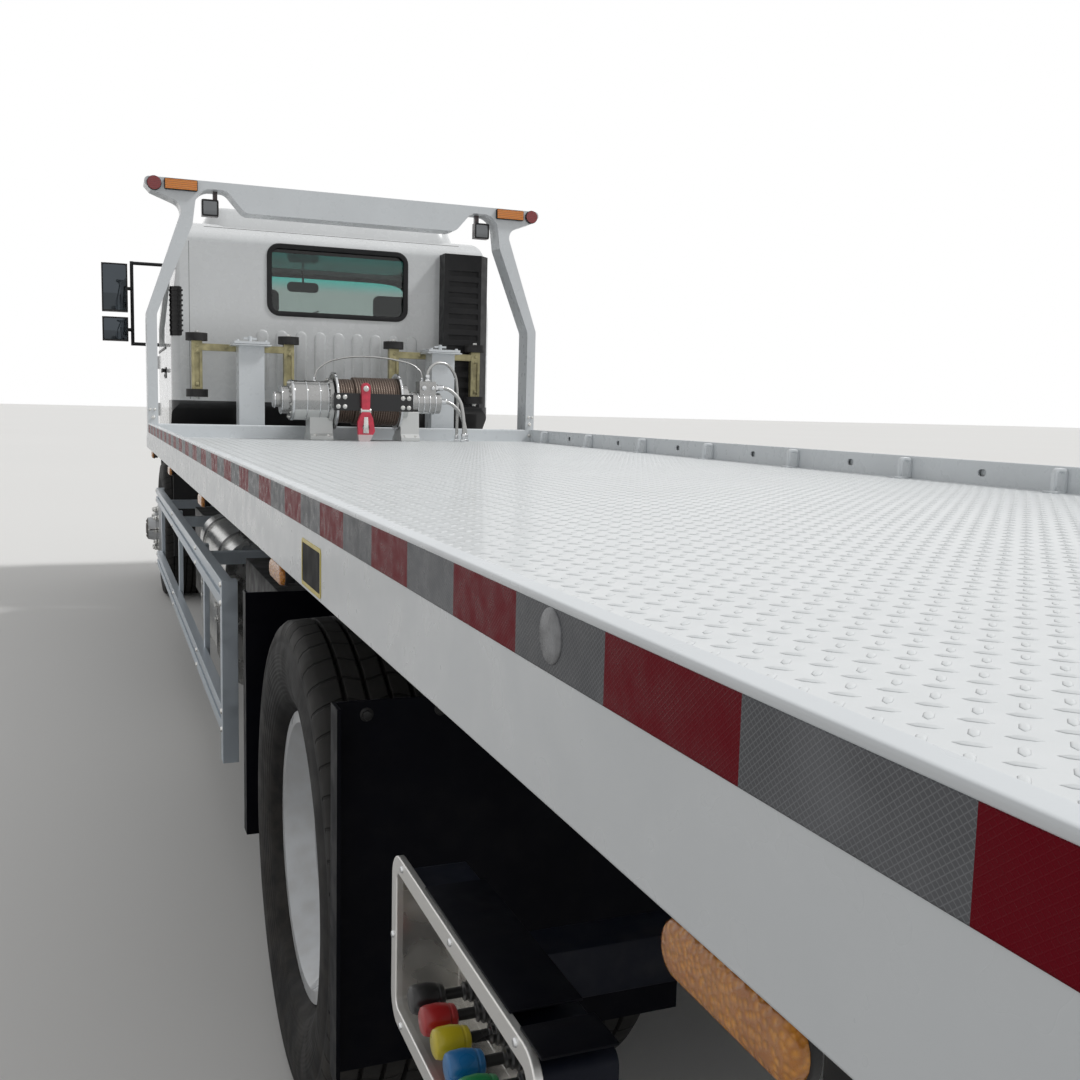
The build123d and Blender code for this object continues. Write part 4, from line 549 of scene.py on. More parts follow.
@dataclass(frozen=True)
class RopeSteel(Finish):
    """Wire rope wound on the drum, its strands slanting across each wrap."""

    axle: Span = (WINCH_Y, WINCH_Z)
    turn_radius: float = 0.135
    slant: float = 0.9
    lay: float = 0.011
    grease: Colour = (0.035, 0.027, 0.022)

    def pattern(self, graph: Graph, colour: object) -> tuple[object, object]:
        """Slanting strands, bright on their crowns and dark with grease between."""
        x, y, z = graph.split(graph.position())
        up = graph.math("SUBTRACT", z, self.axle[1])
        back = graph.math("SUBTRACT", y, self.axle[0])
        along = graph.product(graph.math("ARCTAN2", up, back), self.turn_radius)
        phase = graph.math("DIVIDE", graph.math("ADD", along, graph.product(x, self.slant)), self.lay)
        wave = graph.math("ABSOLUTE", graph.math("SINE", graph.product(phase, math.pi)))
        crown = graph.ramp(wave, 0.15, 0.8)
        return graph.mix(crown, self.grease, colour), graph.product(crown, 0.0006)


@dataclass(frozen=True)
class WindowGlass(Finish):
    """Tinted glass with a black printed band along its edges, and a sun strip at its top.

    Each window has the index of the direction that it runs in, its middle and half size
    there, its middle and half size in Z, and how far its sides lean.
    """

    windows: tuple[tuple[int, float, float, float, float, float], ...] = ()
    band: float = 0.028
    band_colour: Colour = (0.004, 0.004, 0.004)
    corner_power: float = 9.0
    strip: Span | None = None
    strip_colour: Colour = (0.1, 0.62, 0.56)

    def pattern(self, graph: Graph, colour: object) -> tuple[object, object]:
        """Black outside each window's clear field."""
        parts = graph.split(graph.position())
        clear: object = None
        for side, middle, half, z_middle, z_half, lean in self.windows:
            off = graph.math("SUBTRACT", parts[side], middle)
            up = graph.math("SUBTRACT", parts[2], z_middle)
            off = graph.math("ADD", graph.math("ABSOLUTE", off), graph.product(up, lean))
            share = []
            for value, size in ((off, half), (up, z_half)):
                part = graph.math("DIVIDE", graph.math("ABSOLUTE", value), size - self.band)
                share.append(graph.math("POWER", part, self.corner_power))
            field_mask = graph.math("LESS_THAN", graph.math("ADD", *share), 1.0)
            clear = field_mask if clear is None else graph.math("MAXIMUM", clear, field_mask)
        if self.strip:
            colour = graph.mix(graph.ramp(parts[2], *self.strip), colour, self.strip_colour)
        return (colour if clear is None else graph.mix(clear, self.band_colour, colour)), None

    def tune(self, graph: Graph, shader: bpy.types.Node) -> None:
        """Lets light through."""
        shader.inputs["Transmission Weight"].default_value = 1.0
        shader.inputs["IOR"].default_value = 1.45


@dataclass(frozen=True)
class TyreRubber(Finish):
    """Tyre rubber with moulded rings in the sidewall and sipes across the tread."""

    axle_y: float = REAR_AXLE_Y
    ring_pitch: float = 0.008
    ring_height: float = 0.00022
    sipes: float = 54.0
    sipe_depth: float = 0.004
    road: Colour = (0.05, 0.048, 0.045)
    groove: Colour = (0.006, 0.006, 0.006)

    def pattern(self, graph: Graph, colour: object) -> tuple[object, object]:
        """Rings round the axle, sipes across the tread and shoulder, and greyer road faces."""
        x, y, z = graph.split(graph.position())
        dy = graph.math("SUBTRACT", y, self.axle_y)
        dz = graph.math("SUBTRACT", z, AXLE_Z)
        radius = graph.math("SQRT", graph.math("ADD", graph.product(dy, dy), graph.product(dz, dz)))
        rings = graph.math("SINE", graph.product(radius, 2.0 * math.pi / self.ring_pitch))
        band = graph.product(graph.ramp(radius, 0.285, 0.29), graph.ramp(radius, 0.372, 0.366))
        height = graph.product(rings, band, self.ring_height)
        turn = graph.product(graph.math("ARCTAN2", dz, dy), self.sipes / (2.0 * math.pi))
        slant = graph.product(graph.math("SINE", graph.product(x, 75.0)), 0.12)
        share = graph.math("FRACT", graph.math("ADD", graph.math("ADD", turn, slant), 100.0))
        cut = graph.product(graph.ramp(share, 0.0, 0.05), graph.ramp(share, 0.16, 0.11))
        tread = graph.ramp(radius, 0.398, 0.404)
        height = graph.math("ADD", height, graph.product(cut, tread, -self.sipe_depth))
        colour = graph.mix(graph.product(tread, 0.35), colour, self.road)
        return graph.mix(graph.product(cut, tread, 0.8), colour, self.groove), height


DECK_WHITE = (0.70, 0.725, 0.735)
PAINT_WHITE = (0.66, 0.69, 0.71)
CAB_WHITE = (0.70, 0.715, 0.72)
BLACK = (0.012, 0.012, 0.013)
LINING = (0.045, 0.045, 0.048)
BRUSHED_ALONG = (1.0, 0.05, 1.0)

CHROME = Finish("bright chrome", (0.62, 0.63, 0.64), 0.12, 1.0, relief=0.00003, relief_scale=90.0, uneven=0.04)
BRIGHT_BOLT = Finish(
    "zinc bolts", (0.6, 0.6, 0.58), 0.3, 1.0, relief=0.00008, relief_scale=500.0, mottle=0.12, mottle_scale=40.0
)
BLACK_PARTS = Finish(
    "black fittings",
    (0.013, 0.013, 0.014),
    0.4,
    specular=0.3,
    relief=0.00008,
    relief_scale=700.0,
    mottle=0.15,
    dust=0.08,
)
SEAL_RUBBER = Finish(
    "window rubber", (0.007, 0.007, 0.008), 0.45, specular=0.3, relief=0.0001, relief_scale=500.0, mottle=0.2
)
RIM_PAINT = Finish(
    "rim white", (0.55, 0.57, 0.59), 0.34, 0.1, coat=0.3, relief=0.00005, relief_scale=300.0, dust=0.22, edge=0.15
)
# Black paint with a navy tint painted in for the sky's reflection on it
BLACK_WITH_PAINTED_SKY_TINT = Finish(
    "black sheet with painted sky tint",
    (0.006, 0.008, 0.016),
    0.4,
    specular=0.12,
    relief=0.00007,
    relief_scale=140.0,
    mottle=0.12,
    dust=0.05,
)
DECK_PAINT = Finish(
    "deck white",
    DECK_WHITE,
    0.36,
    coat=0.2,
    coat_roughness=0.12,
    relief=0.00007,
    relief_scale=110.0,
    mottle=0.012,
    uneven=0.05,
    dust=0.025,
    dust_reach=1.6,
)
BLANK_PLATE = Finish("blank plate", (0.55, 0.56, 0.57), 0.35, coat=0.2, relief=0.00005)
LABEL_YELLOW = Finish("label yellow", (0.6, 0.47, 0.03), 0.4, coat=0.2, relief=0.00003)
LABEL_BLACK = Finish("label black", (0.01, 0.01, 0.01), 0.5, specular=0.04, relief=0.00003)
LABEL_PLATES = Finish("label plates", (0.02, 0.021, 0.024), 0.3, coat=0.3, relief=0.00003, mottle=0.2)
VALVE_PLATE = Finish("valve plate", (0.05, 0.05, 0.052), 0.35, coat=0.3, relief=0.00004)
MIRROR_GLASS = Finish("mirror glass", (0.07, 0.08, 0.09), 0.05, 1.0, uneven=0.01, relief=0.00001)
WORK_GLASS = Finish("work lamp glass", (0.16, 0.17, 0.18), 0.08, 0.3, coat=0.8, relief=0.0006, relief_scale=140.0)
ROUND_PATCH = Finish(
    "round patch", (0.22, 0.225, 0.235), 0.3, specular=0.2, relief=0.0002, mottle=0.3, mottle_scale=60.0
)
REFLECTING_TAPE = Tape(
    "reflecting tape", (0.15, 0.155, 0.165), 0.34, specular=0.05, mottle=0.22, mottle_scale=9.0, uneven=0.12
)

# The cab's inner faces, which are lined in dark cloth and plastic
LINED = tuple(
    Zone(LINING, x=(-0.1, half), y=y, z=z, roughness=0.8)
    for half, y, z in (
        (0.957, (-4.0, -2.7275), (1.03, 1.9)),
        (0.8, (-4.21, -4.0), (1.03, 2.05)),
        (0.939, (-4.0, -2.7275), (1.9, 2.05)),
        (0.923, (-4.06, -2.7275), (2.05, 2.19)),
        (0.8, (-3.9, -2.76), (2.18, 2.303)),
    )
)
# A dark seam line at the left rear corner, a dark band along the cab's bottom edge, and painted shade: near-black on
# the lower rear of the cab round the step below the rear wall
CAB_SEAM_AND_PAINTED_SHADE = (
    Zone((0.16, 0.16, 0.165), x=(0.893, 0.8965), y=(-2.8, -2.6), z=(1.27, 2.2)),
    # A dark band along the cab's bottom edge
    Zone((0.03, 0.03, 0.03), y=(-4.3, -2.98), z=(0.9, 1.06), roughness=0.6),
    # Painted shade: near-black on the step below the rear wall, where the chassis's shade falls
    Zone((0.014, 0.014, 0.015), y=(-3.0, -2.6), z=(0.9, 1.262), roughness=0.6),
)

FINISHES: dict[str, Finish] = {
    "chassis_black": Finish(
        "chassis black", (0.014, 0.014, 0.016), 0.42, specular=0.25, relief=0.00008, dust=0.16, edge=0.15
    ),
    "engine_grey": Finish("engine cast iron", (0.13, 0.13, 0.135), 0.65, 0.5, relief=0.0004, relief_scale=180.0),
    "cast_steel": Finish("cast steel", (0.09, 0.09, 0.09), 0.6, 0.6, relief=0.0004, relief_scale=180.0, dust=0.4),
    "tyre": TyreRubber(
        "tyre rubber", (0.009, 0.009, 0.0095), 0.66, specular=0.16, relief=0.00012, dust=0.07, dust_reach=0.9
    ),
    "rim_silver": RIM_PAINT,
    "tank_aluminium": Finish(
        "brushed tank",
        (0.5, 0.5, 0.49),
        0.27,
        1.0,
        relief=0.00004,
        stretch=(1.0, 12.0, 1.0),
        zones=tuple(Zone(BLACK, y=strap, roughness=0.5, metallic=0.0) for strap in ((-0.155, -0.1), (0.377, 0.432))),
    ),
    "black_plastic": Finish(
        "black plastic", BLACK, 0.45, specular=0.25, relief=0.0001, relief_scale=900.0, dust=0.06
    ),
    "guard_grey": Finish("guard aluminium", (0.44, 0.49, 0.54), 0.36, 0.45, relief=0.00003, stretch=BRUSHED_ALONG),
    "mud_rubber": Finish(
        "mudguard black", (0.003, 0.0034, 0.006), 0.42, specular=0.06, relief=0.00006, mottle=0.15, dust=0.012
    ),
    "control_steel": Finish(
        "control box steel",
        (0.62, 0.61, 0.585),
        0.3,
        0.85,
        relief=0.00003,
        stretch=BRUSHED_ALONG,
        uneven=0.1,
        zones=(Zone((0.74, 0.73, 0.71), x=(1.1178, 1.2), roughness=0.34),),
    ),
    "cab_white": Finish(
        "cab white",
        CAB_WHITE,
        0.25,
        coat=0.5,
        relief=0.00002,
        relief_scale=160.0,
        mottle=0.015,
        zones=(*LINED, *CAB_SEAM_AND_PAINTED_SHADE),
    ),
    "lamp_clear": Finish(
        "chassis lamps",
        (0.72, 0.73, 0.75),
        0.1,
        coat=0.5,
        relief=0.0005,
        relief_scale=160.0,
        zones=(
            Zone((0.36, 0.006, 0.008), x=(0.67, 0.8), y=(3.0, 4.0), roughness=0.12),
            Zone((0.75, 0.24, 0.01), x=(0.56, 0.67), y=(3.0, 4.0), roughness=0.12),
            Zone((0.1, 0.105, 0.115), y=(-4.4, -4.0), roughness=0.1),
        ),
    ),
    "white_paint": Finish(
        "frame white", PAINT_WHITE, 0.33, coat=0.2, relief=0.00006, relief_scale=120.0, mottle=0.025
    ),
    "deck_white": DECK_PAINT,
    "ram_chrome": Finish("hard chrome", (0.75, 0.75, 0.77), 0.08, 1.0, uneven=0.03, relief=0.00002),
    "lamp_amber": HammeredLens("amber lens", (0.66, 0.27, 0.022), 0.24, coat=0.3, mottle=0.12, mottle_scale=40.0),
    "lamp_red": Lens(
        "head lamps",
        (0.24, 0.004, 0.006),
        0.14,
        coat=0.6,
        pitch=0.012,
        zones=(
            Zone((0.75, 0.24, 0.008), x=(0.87, 1.0655)),
            Zone((0.014, 0.014, 0.015), x=(0.0, 0.87), roughness=0.45),
        ),
    ),
    "winch_steel": Finish(
        "winch steel",
        (0.36, 0.36, 0.355),
        0.24,
        0.95,
        relief=0.00022,
        relief_scale=55.0,
        edge=0.1,
        zones=(
            Zone(
                (0.01, 0.01, 0.011),
                x=(-0.1, 0.4),
                y=(-1.8835, -1.86),
                z=(1.2245, 1.3225),
                roughness=0.3,
                metallic=0.0,
            ),
            Zone((0.6, 0.61, 0.6), x=(-0.1, 0.4), z=(1.0, 1.225), roughness=0.35, metallic=0.2),
        ),
    ),
    "wire_rope": RopeSteel("greased rope", (0.2, 0.15, 0.12), 0.4, 0.6, relief=0.0002, relief_scale=400.0),
    "hose_silver": Finish("braided hose", (0.42, 0.42, 0.41), 0.3, 0.85, relief=0.0004, relief_scale=420.0),
    "hook_red": Finish(
        "hook red",
        (0.58, 0.035, 0.07),
        0.38,
        coat=0.2,
        relief=0.0003,
        relief_scale=80.0,
        mottle=0.15,
        mottle_scale=24.0,
        zones=(Zone((0.6, 0.5, 0.5), z=(1.0, 1.092), roughness=0.5),),
    ),
    "gold_plate": Finish(
        "yellow passivated steel",
        (0.34, 0.305, 0.17),
        0.4,
        0.55,
        relief=0.00008,
        mottle=0.3,
        mottle_scale=18.0,
        edge=0.3,
    ),
    "black_rubber": Finish("dolly rubber", (0.014, 0.013, 0.013), 0.7, relief=0.0003),
    "glass": WindowGlass(
        "window glass",
        (0.46, 0.52, 0.5),
        0.015,
        uneven=0.01,
        mottle=0.01,
        windows=((0, 0.0, 0.83, 1.9, 0.3, 0.1),),
        strip=(2.07, 2.19),
    ),
    "seat_fabric": Finish("seat cloth", (0.03, 0.03, 0.034), 0.9, relief=0.0004, relief_scale=600.0),
}
DOOR_GLASS = WindowGlass(
    "door glass",
    (0.5, 0.6, 0.59),
    0.015,
    uneven=0.01,
    mottle=0.01,
    windows=((1, CAB_FRONT_Y + 0.69, 0.385, 1.87, 0.27, 0.12),),
    band=0.012,
)
OWN_FINISHES: dict[str, Finish] = {"door_glass_left": DOOR_GLASS, "door_glass_right": DOOR_GLASS}
FRONT_RUBBER = replace(FINISHES["tyre"], name="front tyre rubber", axle_y=FRONT_AXLE_Y, dust_reach=1.3)


class Dresser:
    """Gives every node of the model its finish."""

    def __init__(self, model: dict) -> None:
        """Keeps the loaded model.

        Args:
            model: What the frame's loader returned.
        """
        self.nodes: dict[str, bpy.types.Object] = model["nodes"]
        self.slots = {row["node"]: row["material_slot"] for row in model["record"]["subparts"]}

    def dress(self, node: str, finish: Finish) -> None:
        """Puts one finish on all of a node.

        Args:
            node: The node's name.
            finish: Its finish.
        """
        data = self.nodes[node].data
        if not data.materials:
            data.materials.append(None)
        for index in range(len(data.materials)):
            data.materials[index] = finish.material()

    def dress_all(self) -> None:
        """Dresses each node by its material slot, or by a finish of its own."""
        for node, slot in self.slots.items():
            self.dress(node, OWN_FINISHES.get(node, FINISHES[slot]))
        log.info("dressed %d nodes", len(self.slots))


# Mesh building


class Shape:
    """A mesh in the making, from bmesh operators."""

    def __init__(self) -> None:
        """Starts with nothing in it."""
        self.mesh = bmesh.new()

    def block(self, low: Point, high: Point, edge: float = 0.0, segments: int = 2) -> "Shape":
        """A box between two corners, with rounded edges.

        Args:
            low: One corner.
            high: The opposite corner.
            edge: The radius of its edges, or nought.
            segments: The steps of each edge.

        Returns:
            The shape itself.
        """
        sizes = [abs(b - a) for a, b in zip(low, high)]
        middle = Vector([(a + b) / 2 for a, b in zip(low, high)])
        place = Matrix.Translation(middle) @ Matrix.Diagonal((*sizes, 1.0))
        made = bmesh.ops.create_cube(self.mesh, size=1.0, matrix=place)
        if edge:
            self.bevel(self.lines_at(made["verts"]), edge, segments)
        return self

    def rod(
        self, start: Point, end: Point, radius: float, sides: int = 16, tip: float | None = None, edge: float = 0.0
    ) -> "Shape":
        """A round or many-sided bar between two points.

        Args:
            start: The middle of its first end.
            end: The middle of its other end.
            radius: Its radius at the first end.
            sides: How many sides it has.
            tip: Its radius at the other end, if that differs.
            edge: The radius of its two end edges, or nought.

        Returns:
            The shape itself.
        """
        a, b = Vector(start), Vector(end)
        turn = (b - a).to_track_quat("Z", "Y").to_matrix().to_4x4()
        made = bmesh.ops.create_cone(
            self.mesh,
            cap_ends=True,
            segments=sides,
            radius1=radius,
            radius2=radius if tip is None else tip,
            depth=(b - a).length,
            matrix=Matrix.Translation((a + b) / 2) @ turn,
        )
        if edge:
            lines = self.lines_at(made["verts"])
            self.bevel([line for line in lines if any(len(f.verts) > 4 for f in line.link_faces)], edge)
        return self

    def bolt(self, place: Point, axis: Axis, facing: float, size: float) -> "Shape":
        """A hexagon head on its washer, standing on a face.

        Args:
            place: The middle of the washer's seat.
            axis: The direction of the bolt.
            facing: One where it points along the axis, minus one against it.
            size: The radius of the head.

        Returns:
            The shape itself.
        """
        seat = Vector(place)
        out = axis.value * facing
        self.rod(seat - out * 0.001, seat + out * size * 0.22, size * 1.35, 16, edge=size * 0.06)
        return self.rod(seat + out * size * 0.2, seat + out * size * 1.0, size, 6, edge=size * 0.12)

    def bolt_ring(
        self, centre: Point, axis: Axis, facing: float, circle: float, count: int, size: float
    ) -> "Shape":
        """Bolts evenly round a circle.

        Args:
            centre: The middle of the circle, on the face that the bolts stand on.
            axis: The circle's axis.
            facing: One where they point along the axis, minus one against it.
            circle: The circle's radius.
            count: How many bolts.
            size: The radius of each head.

        Returns:
            The shape itself.
        """
        for number in range(count):
            turn = Matrix.Rotation(2.0 * math.pi * (number + 0.5) / count, 3, axis.value)
            self.bolt(Vector(centre) + turn @ (axis.across * circle), axis, facing, size)
        return self

    def bevel(self, items: Iterable[object], radius: float, segments: int = 2, affect: str = "EDGES") -> None:
        """Rounds edges or corners.

        Args:
            items: The edges or the corners.
            radius: How far the bevel reaches.
            segments: Its steps.
            affect: EDGES or VERTICES.
        """
        bmesh.ops.bevel(
            self.mesh,
            geom=list(items),
            offset=radius,
            offset_type="OFFSET",
            affect=affect,
            segments=segments,
            profile=0.5,
            material=-1,
            clamp_overlap=affect == "EDGES",
        )

    @staticmethod
    def lines_at(verts: Iterable[bmesh.types.BMVert]) -> set[bmesh.types.BMEdge]:
        """All the edges that end at the given corners."""
        return {line for vert in verts for line in vert.link_edges}

    @staticmethod
    def only(geometry: Iterable[object], kind: type) -> list:
        """The items of one kind among what an operator gave back."""
        return [item for item in geometry if isinstance(item, kind)]

    def thicken(self, faces: Sequence[bmesh.types.BMFace], depth: Point) -> list:
        """Extrudes faces along the depth, and gives back all that this grew."""
        grown = bmesh.ops.extrude_face_region(self.mesh, geom=faces)["geom"]
        bmesh.ops.translate(self.mesh, verts=self.only(grown, bmesh.types.BMVert), vec=depth)
        return grown

    def loop(self, points: Sequence[Point]) -> tuple[list[bmesh.types.BMVert], list[bmesh.types.BMEdge]]:
        """The corners and edges of a closed line through the points."""
        verts = [self.mesh.verts.new(point) for point in points]
        return verts, [self.mesh.edges.new(pair) for pair in zip(verts, [*verts[1:], verts[0]])]

    def lathe(self, profile: Sequence[tuple[float, float]], centre: Point, axis: Axis, steps: int = 48) -> "Shape":
        """Turns an open profile about an axis through the centre.

        Args:
            profile: Rows of distance along the axis and radius.
            centre: A point on the axis.
            axis: The axis.
            steps: The steps of the full turn.

        Returns:
            The shape itself.
        """
        along = axis.value
        verts = [self.mesh.verts.new(Vector(centre) + along * a + axis.across * r) for a, r in profile]
        lines = [self.mesh.edges.new(pair) for pair in zip(verts, verts[1:])]
        bmesh.ops.spin(
            self.mesh,
            geom=[*verts, *lines],
            cent=centre,
            axis=along,
            angle=2.0 * math.pi,
            steps=steps,
            use_merge=True,
            use_duplicate=False,
        )
        bmesh.ops.remove_doubles(self.mesh, verts=self.mesh.verts[:], dist=1e-6)
        return self

    def sheet(self, outline: Sequence[Point], depth: Point, edge: float = 0.0) -> "Shape":
        """A flat outline given thickness.

        Args:
            outline: The corners of the outline, in order.
            depth: How far, and which way, the outline is extruded.
            edge: The radius of all edges, or nought.

        Returns:
            The shape itself.
        """
        face = self.mesh.faces.new([self.mesh.verts.new(corner) for corner in outline])
        grown = self.thicken([face], depth)
        if edge:
            self.bevel(self.lines_at([*self.only(grown, bmesh.types.BMVert), *face.verts]), edge)
        return self

    def frame(self, low: Point, high: Point, axis: Axis, width: float, corner: float, edge: float = 0.0) -> "Shape":
        """A flat frame with round corners, lying between two corners.

        Args:
            low: The lowest corner of the frame's outside.
            high: Its highest corner.
            axis: The direction that its thickness runs in.
            width: How wide its strip is.
            corner: The radius of its outer corners.
            edge: The radius of its strip's edges, or nought.

        Returns:
            The shape itself.
        """
        start, end = low[axis.index], high[axis.index]
        lines = []
        for inset in (0.0, width):
            lines += self.loop(self.ring(low, high, axis, (start, inset), corner, 0.004))[1]
        strip = bmesh.ops.bridge_loops(self.mesh, edges=lines)["faces"]
        grown = self.thicken(strip, axis.value * (end - start))
        if edge:
            top = set(self.only(grown, bmesh.types.BMFace))
            rim = {line for face in top for line in face.edges if sum(f in top for f in line.link_faces) == 1}
            self.bevel(rim, edge)
        return self

    def loft(self, low: Point, high: Point, axis: Axis, corner: float, rows: Sequence[Span]) -> "Shape":
        """Round-cornered rectangles one after another along an axis, joined, with closed ends.

        Args:
            low: The lowest corner of the first outline.
            high: Its highest corner.
            axis: The direction that the rectangles follow each other in.
            corner: The radius of the outline's corners.
            rows: Each rectangle's place on the axis, and how far it lies inside the outline.

        Returns:
            The shape itself.
        """
        verts, lines = self.loop(self.ring(low, high, axis, rows[0], corner))
        bmesh.ops.contextual_create(self.mesh, geom=lines)
        for row in rows[1:]:
            grown = bmesh.ops.extrude_edge_only(self.mesh, edges=lines)["geom"]
            fresh = set(self.only(grown, bmesh.types.BMVert))
            verts = [min(fresh, key=lambda item: (item.co - old.co).length_squared) for old in verts]
            for vert, point in zip(verts, self.ring(low, high, axis, row, corner)):
                vert.co = point
            lines = [line for line in self.only(grown, bmesh.types.BMEdge) if fresh.issuperset(line.verts)]
        bmesh.ops.contextual_create(self.mesh, geom=lines)
        return self

    @staticmethod
    def ring(low: Point, high: Point, axis: Axis, row: Span, corner: float, least: float = 0.002) -> list[Vector]:
        """The points of a rectangle with round corners, across the axis.

        Args:
            low: The lowest corner of the outline.
            high: Its highest corner.
            axis: The direction that the rectangle faces.
            row: Where it lies on the axis, and how far it lies inside the outline.
            corner: The radius of the outline's corners.
            least: The smallest radius that a corner is left with.

        Returns:
            The points, in order.
        """
        u, v = (k for k in range(3) if k != axis.index)
        radius = max(corner - row[1], least)
        points = []
        for quarter, (su, sv) in enumerate(((1, 1), (-1, 1), (-1, -1), (1, -1))):
            for step in range(7):
                turn = math.pi / 2 * (quarter + step / 6)
                point = Vector((row[0], row[0], row[0]))
                point[u] = (high[u] if su > 0 else low[u]) - su * (row[1] + radius) + radius * math.cos(turn)
                point[v] = (high[v] if sv > 0 else low[v]) - sv * (row[1] + radius) + radius * math.sin(turn)
                points.append(point)
        return points

    def plate(self, rows: Sequence[tuple[Point, float]], depth: Point, edge: float = 0.0) -> "Shape":
        """A flat outline with rounded corners, given thickness, in a shape that is still empty.

        Args:
            rows: Each corner and its radius, in order.
            depth: How far, and which way, the outline is extruded.
            edge: The radius of the rims, or nought.

        Returns:
            The shape itself.
        """
        verts = [self.mesh.verts.new(corner) for corner, _ in rows]
        self.mesh.faces.new(verts)
        for vert, (_, radius) in zip(verts, rows):
            if radius:
                self.bevel([vert], radius, 5, "VERTICES")
        self.mesh.faces.ensure_lookup_table()
        grown = self.thicken([self.mesh.faces[-1]], depth)
        if edge:
            self.bevel({line for face in self.only(grown, bmesh.types.BMFace) for line in face.edges}, edge)
        return self

    def take(self, other: "Shape") -> "Shape":
        """Adds all of another shape, which is used up."""
        data = bpy.data.meshes.new("taken")
        other.mesh.to_mesh(data)
        other.mesh.free()
        self.mesh.from_mesh(data)
        bpy.data.meshes.remove(data)
        return self

    def all_geometry(self) -> list:
        """Every corner, edge and face."""
        return [*self.mesh.verts, *self.mesh.edges, *self.mesh.faces]

    def repeat(self, count: int, step: Point) -> "Shape":
        """Copies all of the shape, each copy a step on from the one before.

        Args:
            count: How many there are in the end.
            step: The way from one to the next.

        Returns:
            The shape itself.
        """
        first = self.all_geometry()
        for number in range(1, count):
            copy = bmesh.ops.duplicate(self.mesh, geom=first)["geom"]
            bmesh.ops.translate(self.mesh, verts=self.only(copy, bmesh.types.BMVert), vec=Vector(step) * number)
        return self

    def mirrored(self) -> "Shape":
        """The shape and its mirror image on the other side of the truck."""
        copy = bmesh.ops.duplicate(self.mesh, geom=self.all_geometry())["geom"]
        bmesh.ops.scale(self.mesh, vec=(-1.0, 1.0, 1.0), verts=self.only(copy, bmesh.types.BMVert))
        bmesh.ops.reverse_faces(self.mesh, faces=self.only(copy, bmesh.types.BMFace))
        return self

    def piece(
        self, name: str, body: str, finish: Finish, slot: str | None = None, smooth: float = 35.0
    ) -> bpy.types.Object:
        """Makes the shape a finished piece.

        Args:
            name: The piece's name.
            body: The body that it rides on.
            finish: Its finish.
            slot: The record's material slot, if it takes one; not used.
            smooth: Edges under this angle, in degrees, are shaded smooth.

        Returns:
            The new object.
        """
        bmesh.ops.recalc_face_normals(self.mesh, faces=self.mesh.faces[:])
        data = bpy.data.meshes.new(name)
        self.mesh.to_mesh(data)
        self.mesh.free()
        data.materials.append(finish.material())
        data.shade_smooth()
        data.set_sharp_from_angle(angle=math.radians(smooth))
        made = bpy.data.objects.new(name, data)
        bpy.context.scene.collection.objects.link(made)
        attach(made, body)
        log.info("%s: %d faces", name, len(data.polygons))
        return made


# Sub-assemblies


